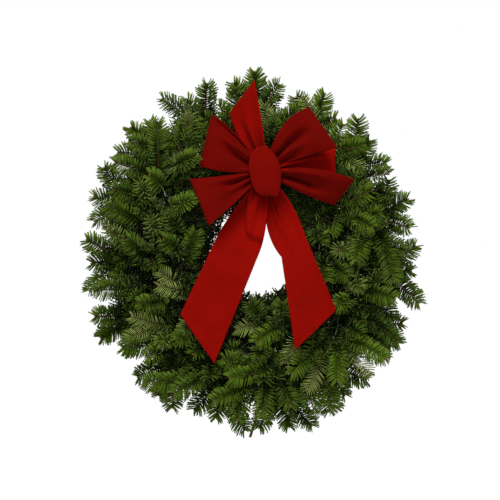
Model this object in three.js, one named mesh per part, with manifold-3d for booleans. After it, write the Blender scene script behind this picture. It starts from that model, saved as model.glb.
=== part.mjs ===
// A fresh fir wreath: bundles of fir tips bound with wire to a steel ring, with a six-loop velvet bow.
// Millimetres, +Z up. The front faces -Y, and the origin is where the hanging loop bears on its hook.
import * as THREE from "three";
import { mergeVertices } from "three/addons/utils/BufferGeometryUtils.js";
import Module from "manifold-3d";

const wasm = await Module();
wasm.setup();

// Driving dimensions of the frame: a 12 inch ring makes a 22 inch wreath.
const RING_R = 152.4;
const RING_WIRE_R = 2.2;
const GAP = 0.4; // clearance between pieces that touch
const BINDING_WIRE_R = 0.7;
const HANGER_WIRE_R = 0.9;
const HANGER_RISE = 25;
const HANGER_HALF_WIDTH = 9;

// Driving dimensions of the greenery.
const STATIONS = 15;
const STATION_DEG = 360 / STATIONS;
const BUTT_R = 2.3;
const BUTT_LENGTH = 34;
const TWIG_R = 1.8;
const NEEDLE_LENGTH = 18;
const NEEDLE_BASE = 4; // length of the twig that one whorl of needles grows from
const TWISTS = 30; // degrees that each whorl is turned from the one before
const BUD_LENGTH = 9;
const DEEPEST_NEEDLE = 3; // no needle reaches further back than this behind the ring's centre
const FACE_DEPTH = 98; // nor further forward than this, apart from under the bow
const UNDER_BOW_DEPTH = 64;
const HOLE_R = 71;

// Each station's three outer tips, anticlockwise from the top: degrees from +X and how far the needles reach.
const OUTER_TIPS = [
  [[82, 270], [90, 288], [97, 272]],
  [[106, 279], [114, 268], [121, 286]],
  [[129, 268], [135, 281], [144, 271]],
  [[151, 276], [161, 272], [169, 262]],
  [[176, 270], [184, 262], [193, 272]],
  [[202, 275], [209, 282], [218, 257]],
  [[227, 274], [236, 276], [242, 282]],
  [[249, 270], [257, 273], [265, 285]],
  [[273, 281], [281, 285], [288, 292]],
  [[295, 281], [302, 270], [311, 271]],
  [[320, 267], [327, 270], [334, 262]],
  [[343, 275], [353, 252], [362, 257]],
  [[369, 250], [379, 259], [388, 244]],
  [[394, 253], [404, 256], [412, 270]],
  [[419, 250], [426, 277], [435, 257]],
];
const TIP_NEEDLES = 9; // how far a tip's needles reach past its twig

// The three rows of bundles round the ring: where each row's stems lie, and where its twigs turn away.
const ROWS = {
  outer: { side: 90, fan: -5 },
  face: { side: 0, fan: -11 },
  inner: { side: -90, fan: 7 },
};
const BINDING_PHASE = 1; // degrees at which the binding wire first crosses the front

// Driving dimensions of the bow, from its own centre: x right, z up, and depth towards the front.
const BOW_AT = { x: 16, z: 125, depth: 92 };
const RIBBON_THICK = 1.3;
const NECK_R = 7.6; // the ribbon is gathered round a circle of this radius, under the knot
const LOOPS = {
  bow_loop_top: {
    neck: [120, 68],
    corners: [[-52, 98], [-17, 140]],
    bulge: [[-47, 62], [-3, 70]],
    puff: 15,
    lift: 6,
    twist: 26,
  },
  bow_loop_upper_left: {
    neck: [170, 124],
    corners: [[-102, 8], [-83, 88]],
    bulge: [[-52, -8], [-46, 66]],
    puff: 23,
    lift: 12,
    twist: 0,
  },
  bow_loop_lower_left: {
    neck: [220, 174],
    corners: [[-87, -84], [-117, -12]],
    bulge: [[-42, -48], [-62, -8]],
    puff: 18,
    lift: 26,
    twist: -8,
  },
  bow_loop_upper_right: {
    neck: [64, 26],
    corners: [[67, 99], [111, 37]],
    bulge: [[34, 70], [62, 16]],
    puff: 23,
    lift: 20,
    twist: 0,
  },
  bow_loop_middle_right: {
    neck: [18, -3],
    corners: [[103, 40], [110, -18]],
    bulge: [[58, 10], [60, 13]],
    puff: 7,
    lift: -27,
    twist: 0,
  },
  bow_loop_lower_right: {
    neck: [-15, -46],
    corners: [[137, -13], [107, -52]],
    bulge: [[66, 8], [58, -38]],
    puff: 17,
    lift: 20,
    twist: -25,
  },
};
const KNOT = { height: 78, half: 24, end: 10, waist: 3.4, depth: 24, lean: 9 };
const TAILS = {
  bow_tail_left: {
    neck: [224, 266],
    left: [[-38, -40], [-72, -95], [-132, -222]],
    right: [[4, -76], [-8, -123], [-79, -298]],
    depths: [-14, 13],
  },
  bow_tail_right: {
    neck: [274, 312],
    left: [[-8, -95], [25, -133], [46, -277]],
    right: [[44, -42], [62, -100], [110, -215]],
    depths: [-9, 18],
  },
};

const colour = (name, hex, roughness, metalness = 0) =>
  new THREE.MeshStandardMaterial({ name, color: hex, roughness, metalness });
const NEEDLE_GREEN = colour("needles", 0x2f4a1c, 0.55);
const GALVANISED = colour("frame_wire", 0x6d6f6c, 0.45, 0.8);
const GREEN_WIRE = colour("green_wire", 0x2d4a2e, 0.5, 0.3);
const RED_VELVET = colour("velvet", 0x9a0c08, 0.95);

const radians = THREE.MathUtils.degToRad;
const polar = (r, degrees, y) =>
  new THREE.Vector3(r * Math.cos(radians(degrees)), y, r * Math.sin(radians(degrees)));
const radial = (degrees) => polar(1, degrees, 0);
const tangent = (degrees) => polar(1, degrees + 90, 0);
const mix = THREE.MathUtils.lerp;

// An even spread of values from -1 to 1 over the whole numbers, which stands in for chance.
const vary = (n, salt) => 2 * ((n * 0.6180339887 + salt * 0.4142135624) % 1) - 1;

// How far forward the greenery may reach at a place on the face: less where the bow presses it down.
function forwardLimit(x, z) {
  const across = (x - BOW_AT.x - 5) / 150;
  const up = (z - BOW_AT.z - 22) / 118;
  return mix(UNDER_BOW_DEPTH, FACE_DEPTH, THREE.MathUtils.smoothstep(Math.hypot(across, up), 0.92, 1.15));
}

// A point on a stem that lies along the ring, in a row's own place beside the ring's wire.
function buttPoint(row, degrees) {
  const out = RING_WIRE_R + GAP + BUTT_R / 2;
  const side = radians(row.side);
  return polar(RING_R + out * Math.sin(side), degrees, -out * Math.cos(side));
}

// The way that a row's stems face, away from the ring's wire.
const buttFacing = (row, degrees) => {
  const side = radians(row.side);
  return radial(degrees).multiplyScalar(Math.sin(side)).add(new THREE.Vector3(0, -Math.cos(side), 0));
};

// A bundle's leading twig: its stem along the ring, then a bend out to its tip.
function leaderTwig(row, fan, tip, arch, whorls) {
  const root = buttPoint(row, fan);
  const facing = buttFacing(row, fan);
  const buttDegrees = THREE.MathUtils.radToDeg(BUTT_LENGTH / RING_R);
  const stem = [1, 0.5].map((share) => buttPoint(row, fan - share * buttDegrees));
  const outward = new THREE.Vector3(tip.x, 0, tip.z).normalize();
  const lean = tip.clone().sub(root).multiplyScalar(0.4);
  const curve = new THREE.CubicBezierCurve3(
    root,
    root.clone().addScaledVector(tangent(fan), 11).addScaledVector(facing, 9),
    tip.clone().sub(lean).addScaledVector(outward, arch.out).add(new THREE.Vector3(0, -arch.forward, 0)),
    tip,
  );
  return { stem, curve, facing, bare: 20, whorls };
}

// A side shoot that branches from a leading twig.
function sideTwig(leader, share, tip, whorls) {
  const root = leader.curve.getPointAt(share);
  const along = leader.curve.getTangentAt(share);
  const reach = tip.distanceTo(root);
  const curve = new THREE.CubicBezierCurve3(
    root,
    root.clone().addScaledVector(along, 0.25 * reach).lerp(tip, 0.08),
    root.clone().lerp(tip, 0.6).addScaledVector(along, 0.12 * reach),
    tip,
  );
  return { stem: [], curve, facing: leader.facing, bare: 14, whorls };
}

// A place on the wreath, no further forward than the greenery may reach there.
function placed(r, degrees, depth) {
  const at = polar(r, degrees, -depth);
  at.y = -Math.min(depth, forwardLimit(at.x, at.z) - 6);
  return at;
}

function outerBundle(i) {
  const [first, middle, last] = OUTER_TIPS[i];
  const row = ROWS.outer;
  const tipAt = ([degrees, reach], depth) => placed(reach - TIP_NEEDLES, degrees, depth);
  const fan = 90 + STATION_DEG * i + row.fan;
  const leader = leaderTwig(row, fan, tipAt(middle, 24 + 6 * vary(i, 1)), { out: 0, forward: 12 }, 5);
  return [
    leader,
    sideTwig(leader, 0.24, tipAt(first, 50 + 7 * vary(i, 2)), 4),
    sideTwig(leader, 0.34, tipAt(last, 46 + 7 * vary(i, 3)), 4),
  ];
}

function faceBundle(i) {
  const row = ROWS.face;
  const fan = 90 + STATION_DEG * i + row.fan;
  const leader = leaderTwig(row, fan, placed(200 + 8 * vary(i, 4), fan + 3, 92), { out: -6, forward: 14 }, 3);
  return [
    leader,
    sideTwig(leader, 0.3, placed(230 + 7 * vary(i, 5), fan - 8 + 2 * vary(i, 6), 76), 4),
    sideTwig(leader, 0.42, placed(156 + 7 * vary(i, 7), fan + 12 + 2 * vary(i, 8), 98), 3),
  ];
}

function innerBundle(i) {
  const row = ROWS.inner;
  const fan = 90 + STATION_DEG * i + row.fan;
  const leader = leaderTwig(row, fan, placed(108 + 5 * vary(i, 9), fan + 4, 80), { out: 0, forward: 14 }, 3);
  return [leader, sideTwig(leader, 0.3, placed(86 + 3 * vary(i, 10), fan + 14, 38 + 8 * vary(i, 11)), 3)];
}

// The rings of a twig from its root to its bud, each with its centre, its frame and its corners.
function twigRings(twig) {
  const length = twig.curve.getLength();
  const pitch = (length - twig.bare - NEEDLE_BASE) / Math.max(1, twig.whorls - 0.6);
  const rings = [];
  let normal = twig.facing.clone();
  const ring = (centre, along, radius, twist) => {
    normal = normal.clone().addScaledVector(along, -normal.dot(along)).normalize();
    const binormal = along.clone().cross(normal);
    const corners = [0, 120, 240].map((turn) => {
      const angle = radians(turn + twist);
      return centre
        .clone()
        .addScaledVector(normal, radius * Math.cos(angle))
        .addScaledVector(binormal, radius * Math.sin(angle));
    });
    rings.push({ centre, along, normal, binormal, twist, corners });
  };
  const start = twig.curve.getPointAt(0);
  twig.stem.forEach((point, k) => {
    const next = twig.stem[k + 1] || start;
    ring(point, next.clone().sub(point).normalize(), BUTT_R, 0);
  });
  ring(start, twig.curve.getTangentAt(0), twig.stem.length ? BUTT_R : TWIG_R * 0.8, 0);
  for (let w = 0; w < twig.whorls; w++) {
    const radius = TWIG_R * (1 - (0.2 * w) / twig.whorls);
    [0, NEEDLE_BASE].forEach((step) => {
      const share = (twig.bare + w * pitch + step) / length;
      ring(twig.curve.getPointAt(share), twig.curve.getTangentAt(share), radius, TWISTS * (w % 2));
    });
  }
  return rings;
}

// Shortest distance between two tapered needles or twig lengths, less their radii.
function clearance(p, q) {
  const reach = p.half + q.half + 3;
  if (p.middle.distanceToSquared(q.middle) > reach * reach) return Infinity;
  const u = p.to.clone().sub(p.from);
  const v = q.to.clone().sub(q.from);
  const w = p.from.clone().sub(q.from);
  const a = u.dot(u), b = u.dot(v), c = v.dot(v), d = u.dot(w), e = v.dot(w);
  const det = a * c - b * b;
  let s = det > 1e-9 ? THREE.MathUtils.clamp((b * e - c * d) / det, 0, 1) : 0;
  const t = THREE.MathUtils.clamp((b * s + e) / c, 0, 1);
  s = THREE.MathUtils.clamp((b * t - d) / a, 0, 1);
  const apart = w.addScaledVector(u, s).addScaledVector(v, -t).length();
  return apart - mix(p.thick, p.thin, s) - mix(q.thick, q.thin, t);
}

const spike = (from, to, thick, thin, twig) => ({
  from, to, thick, thin, twig, middle: from.clone().lerp(to, 0.5), half: from.distanceTo(to) / 2 + thick,
});

// A needle's tip from its root: it is turned, raised or shortened until it clears all that stands near it.
function needleTip(root, ring, azimuth, slope, length, twig, obstacles) {
  const turns = [0, 14, -14, 26, -26];
  for (const shorter of [1, 0.75, 0.5]) {
    for (const raise of [0, 12, -12]) {
      for (const turn of turns) {
        const around = radians(azimuth + turn);
        const lean = radians(slope + raise);
        const tip = root
          .clone()
          .addScaledVector(ring.along, length * shorter * Math.cos(lean))
          .addScaledVector(ring.normal, length * shorter * Math.sin(lean) * Math.cos(around))
          .addScaledVector(ring.binormal, length * shorter * Math.sin(lean) * Math.sin(around));
        const inHole = Math.hypot(tip.x, tip.z) < HOLE_R;
        if (tip.y > DEEPEST_NEEDLE || -tip.y > forwardLimit(tip.x, tip.z) || inHole) continue;
        const needle = spike(root, tip, 2, 0.2, twig);
        if (obstacles.every((o) => o.twig === twig || clearance(needle, o) > GAP)) {
          obstacles.push(needle);
          return tip;
        }
      }
    }
  }
  return null;
}

// A twig as one closed surface. The six facets of each whorl are drawn out into three-sided needles.
function twigGeometry(twig, seed, obstacles) {
  const positions = [];
  const index = [];
  const vertex = (v) => positions.push(v.x, v.y, v.z) / 3 - 1;
  const rings = twig.rings;
  const corners = rings.map((r) => r.corners.map(vertex));
  index.push(corners[0][2], corners[0][1], corners[0][0]);
  const bareRings = twig.stem.length + 1;
  for (let k = 0; k + 1 < rings.length; k++) {
    const whorl = (k - bareRings) / 2;
    const isWhorl = k >= bareRings && Number.isInteger(whorl);
    for (let side = 0; side < 3; side++) {
      const next = (side + 1) % 3;
      const facets = [
        [[k, side], [k, next], [k + 1, next]],
        [[k, side], [k + 1, next], [k + 1, side]],
      ];
      facets.forEach((facet, half) => {
        const ids = facet.map(([r, c]) => corners[r][c]);
        const n = seed * 97 + whorl * 6 + side * 2 + half;
        const root = new THREE.Vector3();
        facet.forEach(([r, c]) => root.addScaledVector(rings[r].corners[c], 1 / 3));
        const last = whorl === twig.whorls - 1;
        const azimuth = rings[k].twist + 60 + 120 * side + (half ? -30 : 30) + 8 * vary(n, 12);
        const slope = (last ? 42 : 62) + 6 * vary(n, 13);
        const length = NEEDLE_LENGTH * (last ? 0.9 : 1) * (1 + 0.1 * vary(n, 14));
        const tip = isWhorl ? needleTip(root, rings[k], azimuth, slope, length, twig, obstacles) : null;
        if (tip) {
          const apex = vertex(tip);
          ids.forEach((id, m) => index.push(id, ids[(m + 1) % 3], apex));
        } else {
          index.push(...ids);
        }
      });
    }
  }
  const end = rings.at(-1);
  const bud = vertex(end.centre.clone().addScaledVector(end.along, BUD_LENGTH));
  const rim = corners.at(-1);
  rim.forEach((id, m) => index.push(id, rim[(m + 1) % 3], bud));
  const geometry = new THREE.BufferGeometry();
  geometry.setAttribute("position", new THREE.Float32BufferAttribute(positions, 3));
  geometry.setIndex(index);
  return geometry;
}

// A closed geometry as a solid that can be joined, and back.
function solidOf(geometry) {
  const bare = geometry.clone();
  bare.deleteAttribute("normal");
  bare.deleteAttribute("uv");
  const merged = mergeVertices(bare, 1e-4);
  return new wasm.Manifold(
    new wasm.Mesh({
      numProp: 3,
      vertProperties: merged.attributes.position.array,
      triVerts: new Uint32Array(merged.index.array),
    }),
  );
}

function geometryOf(solid) {
  const mesh = solid.getMesh();
  const geometry = new THREE.BufferGeometry();
  geometry.setAttribute("position", new THREE.BufferAttribute(mesh.vertProperties, 3));
  geometry.setIndex(new THREE.BufferAttribute(mesh.triVerts, 1));
  geometry.computeVertexNormals();
  return geometry;
}

function named(name, geometry, material) {
  const mesh = new THREE.Mesh(geometry, material);
  mesh.name = name;
  return mesh;
}

// A round wire along a curve.
function wireGeometry(curve, radius, sides, steps) {
  const section = new THREE.Shape(
    Array.from({ length: sides }, (_, k) => {
      const angle = (2 * Math.PI * (k + 0.5)) / sides;
      return new THREE.Vector2(radius * Math.cos(angle), radius * Math.sin(angle));
    }),
  );
  return new THREE.ExtrudeGeometry(section, { steps, bevelEnabled: false, extrudePath: curve });
}

// The ring: its eight-sided wire has one flat to the back.
function ringFrame() {
  const sides = 8;
  const profile = Array.from({ length: sides + 1 }, (_, k) => {
    const angle = (2 * Math.PI * (k + 0.5)) / sides;
    return new THREE.Vector2(RING_R + RING_WIRE_R * Math.cos(angle), RING_WIRE_R * Math.sin(angle));
  });
  return named("ring_frame", new THREE.LatheGeometry(profile, 3 * STATIONS), GALVANISED);
}

// The binding wire winds round the ring and the three rows of stems. It lies close behind the ring.
const BINDING_POINTS = 7;
const BUNDLE_R = RING_WIRE_R + GAP + 1.5 * BUTT_R;
class BindingPath extends THREE.Curve {
  getPoint(share, target = new THREE.Vector3()) {
    const turn = share * (STATIONS - 0.3);
    const degrees = BINDING_PHASE + (360 * turn) / STATIONS;
    const around = 2 * Math.PI * turn;
    const front = (BUNDLE_R + 2 * GAP + BINDING_WIRE_R) / Math.cos(Math.PI / BINDING_POINTS);
    const back = RING_WIRE_R + GAP + 1.6 * BINDING_WIRE_R;
    const backness = THREE.MathUtils.smoothstep(-Math.cos(around), 0, 1);
    const out = mix(front, back, backness);
    return target.copy(polar(RING_R + out * Math.sin(around), degrees, -out * Math.cos(around)));
  }
}

function bindingWire() {
  const path = new BindingPath();
  path.arcLengthDivisions = 40 * STATIONS;
  return named("binding_wire", wireGeometry(path, BINDING_WIRE_R, 3, BINDING_POINTS * STATIONS), GREEN_WIRE);
}

// The hanging loop: one wire that rises behind the ring's top to an eye, and hooks round the stems below it.
const HANGER_OUT = BUNDLE_R + GAP + 2 * BINDING_WIRE_R + 2 * GAP + HANGER_WIRE_R;
const HANGER_BACK = RING_WIRE_R + 2 * GAP + 2 * BINDING_WIRE_R + HANGER_WIRE_R;
function hangingLoop() {
  const leg = [
    [-0.5, -HANGER_OUT],
    [-0.8 * HANGER_OUT, -0.8 * HANGER_OUT],
    [-HANGER_OUT, 0],
    [-0.75 * HANGER_OUT, 0.9 * HANGER_BACK],
    [0, HANGER_BACK],
    [0.6 * HANGER_RISE, HANGER_BACK],
  ];
  const at = (x, [up, y]) => new THREE.Vector3(x, y, RING_R + up);
  const eye = new THREE.Vector3(0, HANGER_BACK, RING_R + HANGER_RISE);
  const shoulder = [0.9 * HANGER_RISE, HANGER_BACK];
  const path = new THREE.CatmullRomCurve3([
    ...leg.map((p) => at(-HANGER_HALF_WIDTH, p)),
    at(-0.7 * HANGER_HALF_WIDTH, shoulder),
    eye,
    at(0.7 * HANGER_HALF_WIDTH, shoulder),
    ...leg.reverse().map((p) => at(HANGER_HALF_WIDTH, p)),
  ]);
  return named("hanging_loop", wireGeometry(path, HANGER_WIRE_R, 6, 30), GREEN_WIRE);
}

// A point of the bow from its own centre.
const bowPoint = (x, z, depth) => new THREE.Vector3(BOW_AT.x + x, -BOW_AT.depth - depth, BOW_AT.z + z);

const bezier = (from, by, to, t) => from.map((a, k) => mix(mix(a, by[k], t), mix(by[k], to[k], t), t));

// Bends a ribbon's flat solid into place, and turns it right side out if the bend has mirrored it.
function bent(geometry, place) {
  const position = geometry.attributes.position;
  const point = new THREE.Vector3();
  for (let k = 0; k < position.count; k++) {
    point.fromBufferAttribute(position, k);
    const to = place(point.x, point.y, point.z);
    position.setXYZ(k, to.x, to.y, to.z);
  }
  const loose = geometry.index ? geometry.toNonIndexed() : geometry;
  const at = loose.attributes.position;
  const corner = (k) => new THREE.Vector3().fromBufferAttribute(at, k);
  let volume = 0;
  for (let k = 0; k < at.count; k += 3) volume += corner(k).dot(corner(k + 1).cross(corner(k + 2)));
  if (volume < 0) {
    for (let k = 0; k < at.count; k += 3) {
      const second = corner(k + 1);
      const third = corner(k + 2);
      at.setXYZ(k + 1, third.x, third.y, third.z);
      at.setXYZ(k + 2, second.x, second.y, second.z);
    }
  }
  const merged = geometryOf(solidOf(loose));
  return merged;
}

// The side outline of a loop of ribbon, pinched at x = 0 and round at its fold at x = 1, as a ring of ribbon.
function loopOutline(puff, length, points) {
  const half = (x, thinner) => {
    const angle = Math.acos(1 - 2 * x);
    return RIBBON_THICK * (1 - x) ** 0.5 + puff * Math.sin(angle) * x ** 0.75 - thinner;
  };
  const stations = Array.from({ length: points + 1 }, (_, k) => (1 - Math.cos((Math.PI * k) / points)) / 2);
  const outer = stations.map((x) => [x, half(x, 0)]);
  const end = 1 - RIBBON_THICK / length;
  const inner = stations.slice(0, -2).map((x) => mix(0.2, end, x)).map((x) => [x, half(x, RIBBON_THICK)]);
  const closed = (side, tip) => [
    ...side.map(([x, y]) => new THREE.Vector2(x, -y)),
    new THREE.Vector2(tip, 0),
    ...side.map(([x, y]) => new THREE.Vector2(x, y)).reverse(),
  ];
  const shape = new THREE.Shape(closed(outer.slice(0, -1), 1));
  shape.holes.push(new THREE.Path(closed(inner, end)));
  return shape;
}

const neckPoint = (degrees) => [NECK_R * Math.cos(radians(degrees)), NECK_R * Math.sin(radians(degrees))];

// One loop of the bow. Across the ribbon v runs from one edge to the other, and along it x from neck to fold.
function bowLoop(name, loop) {
  const neck = loop.neck.map(neckPoint);
  const middle = loop.corners[0].map((a, k) => (a + loop.corners[1][k]) / 2);
  const shape = loopOutline(loop.puff, Math.hypot(...middle), 7);
  const flat = new THREE.ExtrudeGeometry(shape, { depth: 1, steps: 3, bevelEnabled: false });
  const place = (x, depth, v) => {
    const [first, second] = [0, 1].map((k) => bezier(neck[k], loop.bulge[k], loop.corners[k], x));
    const across = 2 * v - 1;
    const pleat = 5 * x * (1 - x) ** 1.5 * Math.cos(2 * Math.PI * across);
    const front = -depth * (1 - 0.3 * across * across) + pleat + (loop.lift + loop.twist * across) * x * x;
    return bowPoint(mix(first[0], second[0], v), mix(first[1], second[1], v), front);
  };
  return named(name, bent(flat, place), RED_VELVET);
}

// The knot: a flattened ring of ribbon in front of the gathered necks, narrow at its two ends.
function bowKnot() {
  const points = 8;
  const half = KNOT.depth / 2;
  const ellipse = (thinner) =>
    Array.from({ length: 2 * points }, (_, k) => {
      const angle = (Math.PI * k) / points;
      const along = (KNOT.height / 2 - thinner) * Math.cos(angle);
      return new THREE.Vector2(along, (half - thinner) * Math.sin(angle));
    });
  const shape = new THREE.Shape(ellipse(0));
  shape.holes.push(new THREE.Path(ellipse(RIBBON_THICK)));
  const flat = new THREE.ExtrudeGeometry(shape, { depth: 1, steps: 4, bevelEnabled: false });
  const lean = radians(KNOT.lean);
  const place = (along, depth, v) => {
    const across = 2 * v - 1;
    const share = Math.abs(along) / (KNOT.height / 2);
    const behind = depth > 0;
    const side = across * mix(behind ? KNOT.waist : KNOT.half, KNOT.end, share ** 2);
    const curl = behind ? 0 : 9 * across ** 2 * (1 - share ** 2);
    return bowPoint(
      side * Math.cos(lean) - along * Math.sin(lean),
      along * Math.cos(lean) + side * Math.sin(lean),
      RIBBON_THICK + GAP + half - depth - curl,
    );
  };
  return named("bow_knot", bent(flat, place), RED_VELVET);
}

// One tail: it hangs from the knot, spreads to the ribbon's full width and ends in a slanted cut.
function bowTail(name, tail) {
  const flat = new THREE.BoxGeometry(1, 1, 1, 10, 1, 4);
  const neck = tail.neck.map(neckPoint);
  const edge = (start, [a, b, end], t) => {
    if (t < 0.4) return bezier(start, a, b, t / 0.4);
    const middle = b.map((c, k) => mix(c, end[k], 0.5));
    return bezier(b, middle, end, (t - 0.4) / 0.6);
  };
  const place = (along, thick, v) => {
    const t = along + 0.5;
    const across = 2 * v;
    const left = edge(neck[0], tail.left, t);
    const right = edge(neck[1], tail.right, t);
    const [sunk, lying] = tail.depths;
    const pleat = 16 * t * (1 - t) ** 4 * Math.cos(1.5 * Math.PI * across);
    const rise = THREE.MathUtils.smoothstep(t, 0.22, 0.6);
    const depth = mix(sunk * Math.min(1, 10 * t), lying, rise) + pleat + thick * RIBBON_THICK;
    return bowPoint(mix(left[0], right[0], v + 0.5), mix(left[1], right[1], v + 0.5), depth);
  };
  return named(name, bent(flat, place), RED_VELVET);
}

// The bow's tie: a wire through the knot, over the gathered necks and back to the ring.
const TIE_WIRE_R = 0.8;
const TIE_DEG = 81.5; // the place on the ring, between two bundles, that the tie hooks round
function bowTie() {
  const leg = 6;
  const inKnot = 2 * RIBBON_THICK + 3 * GAP + TIE_WIRE_R;
  const ring = (out, y) => polar(RING_R + out, TIE_DEG, y);
  const hook = RING_WIRE_R + 1.6 * GAP + TIE_WIRE_R;
  const path = new THREE.CatmullRomCurve3([
    bowPoint(-0.5, 2, -36),
    bowPoint(-leg, 0, -12),
    bowPoint(-leg, 0, inKnot - 3),
    bowPoint(-leg + 2.5, 0, inKnot),
    bowPoint(leg - 2.5, 0, inKnot),
    bowPoint(leg, 0, inKnot - 3),
    bowPoint(leg, 0, -12),
    bowPoint(3, 3, -34),
    ring(-20, -26),
    ring(-9, -9),
    ring(-1.1 * hook, 0),
    ring(-0.6 * hook, 0.95 * hook),
    ring(1, 1.1 * hook),
  ]);
  return { path, mesh: named("bow_tie_wire", wireGeometry(path, TIE_WIRE_R, 4, 26), GREEN_WIRE) };
}

// Every bundle of the wreath, with a node's name for each.
function bundles() {
  const made = [];
  const add = (kind, i, twigs) => {
    twigs.forEach((twig) => (twig.rings = twigRings(twig)));
    made.push({ name: `fir_${kind}_${String(i + 1).padStart(2, "0")}`, twigs });
  };
  for (let i = 0; i < STATIONS; i++) {
    add("outer", i, outerBundle(i));
    add("face", i, faceBundle(i));
    add("inner", i, innerBundle(i));
  }
  return made;
}

function build() {
  const wreath = new THREE.Group();
  const tie = bowTie();
  wreath.add(ringFrame(), bindingWire(), hangingLoop(), tie.mesh);

  const all = bundles();
  const obstacles = [];
  const alongWire = (path, steps, radius) => {
    const points = path.getSpacedPoints(steps);
    points.slice(1).forEach((point, k) => obstacles.push(spike(points[k], point, radius, radius, null)));
  };
  alongWire(tie.path, 30, TIE_WIRE_R);
  alongWire(new BindingPath(), BINDING_POINTS * STATIONS, BINDING_WIRE_R);
  all.forEach(({ twigs }) =>
    twigs.forEach((twig) =>
      twig.rings.slice(1).forEach((r, k) => {
        obstacles.push(spike(twig.rings[k].centre, r.centre, 2.2, 2.2, twig));
      }),
    ),
  );
  all.forEach(({ name, twigs }, b) => {
    const solids = twigs.map((twig, k) => solidOf(twigGeometry(twig, 3 * b + k, obstacles)));
    wreath.add(named(name, geometryOf(wasm.Manifold.union(solids)), NEEDLE_GREEN));
  });

  Object.entries(LOOPS).forEach(([name, loop]) => wreath.add(bowLoop(name, loop)));
  Object.entries(TAILS).forEach(([name, tail]) => wreath.add(bowTail(name, tail)));
  wreath.add(bowKnot());
  wreath.position.set(0, -HANGER_BACK, -(RING_R + HANGER_RISE - HANGER_WIRE_R));
  return new THREE.Group().add(wreath);
}

export default build();
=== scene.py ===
"""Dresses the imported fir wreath: fine needles, twigs and buds, a velvet bow and the wires that hold them."""

import logging
import math
from collections.abc import Iterable, Sequence
from dataclasses import dataclass, field
from enum import Enum
from typing import ClassVar

import bmesh
import bpy
import numpy as np
from mathutils import Matrix, Vector


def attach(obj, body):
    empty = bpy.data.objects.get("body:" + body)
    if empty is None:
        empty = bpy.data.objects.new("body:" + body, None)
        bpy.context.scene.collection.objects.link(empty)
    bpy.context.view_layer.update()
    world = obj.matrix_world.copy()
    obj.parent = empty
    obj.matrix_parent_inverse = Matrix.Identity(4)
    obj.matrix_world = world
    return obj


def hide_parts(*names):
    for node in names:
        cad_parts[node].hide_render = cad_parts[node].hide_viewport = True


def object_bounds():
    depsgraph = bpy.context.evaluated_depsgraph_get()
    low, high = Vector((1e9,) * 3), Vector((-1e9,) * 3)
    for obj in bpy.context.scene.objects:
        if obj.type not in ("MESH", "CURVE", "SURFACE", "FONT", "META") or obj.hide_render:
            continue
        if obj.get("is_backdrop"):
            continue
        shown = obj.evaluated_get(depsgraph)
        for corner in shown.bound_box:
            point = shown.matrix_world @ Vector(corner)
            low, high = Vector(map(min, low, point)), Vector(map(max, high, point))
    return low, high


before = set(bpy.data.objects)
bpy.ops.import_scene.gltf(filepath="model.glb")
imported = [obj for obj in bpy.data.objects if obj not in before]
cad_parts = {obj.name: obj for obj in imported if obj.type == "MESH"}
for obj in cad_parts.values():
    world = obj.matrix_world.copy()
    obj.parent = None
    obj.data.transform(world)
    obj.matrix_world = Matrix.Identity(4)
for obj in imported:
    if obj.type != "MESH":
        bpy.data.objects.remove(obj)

log = logging.getLogger("wreath")
MM = 0.001
GOLDEN_SHARE = 0.6180339887
ROOT_TWO_SHARE = 0.4142135624


class Slot(Enum):
    """The material slots."""

    FRAME_WIRE = "frame_wire"
    GREEN_WIRE = "green_wire"
    FIR = "fir"
    VELVET = "velvet"


class Row(Enum):
    """The three rows of bundles round the ring, with the side of the ring on which each lies, in degrees."""

    OUTER = 90.0
    FACE = 0.0
    INNER = -90.0


# Small helpers


def vary(n: float, salt: float) -> float:
    """Return an even spread from -1 to 1 over the whole numbers. Each salt picks a spread of its own."""
    return 2.0 * ((n * GOLDEN_SHARE + salt * ROOT_TWO_SHARE) % 1.0) - 1.0


def mix(a: float, b: float, t: float) -> float:
    """Return the value a share t of the way from a to b."""
    return a + (b - a) * t


def eased(share: np.ndarray | float) -> np.ndarray | float:
    """Return a share from 0 to 1, or an array of them, with a smooth start and end."""
    return share * share * (3.0 - 2.0 * share)


def smoothstep(t: float, low: float, high: float) -> float:
    """Return 0 below low, 1 above high, and a smooth rise between them."""
    return eased(min(1.0, max(0.0, (t - low) / (high - low))))


def polar(r: float, degrees: float, y: float) -> Vector:
    """Return the point at radius r and an angle from +X towards +Z, at depth y."""
    angle = math.radians(degrees)
    return Vector((r * math.cos(angle), y, r * math.sin(angle)))


def unit_rows(rows: np.ndarray) -> np.ndarray:
    """Return each row scaled to length 1."""
    return rows / np.maximum(np.linalg.norm(rows, axis=1, keepdims=True), 1e-9)


def along_line(rows: np.ndarray, reach: np.ndarray, s: np.ndarray | float) -> np.ndarray:
    """Find places by their distance along a line.

    Args:
        rows: Points on the line.
        reach: Their distances from its start.
        s: One distance, or an array of them.

    Returns:
        One place, or one row for each distance.
    """
    return np.stack([np.interp(s, reach, rows[:, k]) for k in range(3)], axis=-1)


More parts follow.
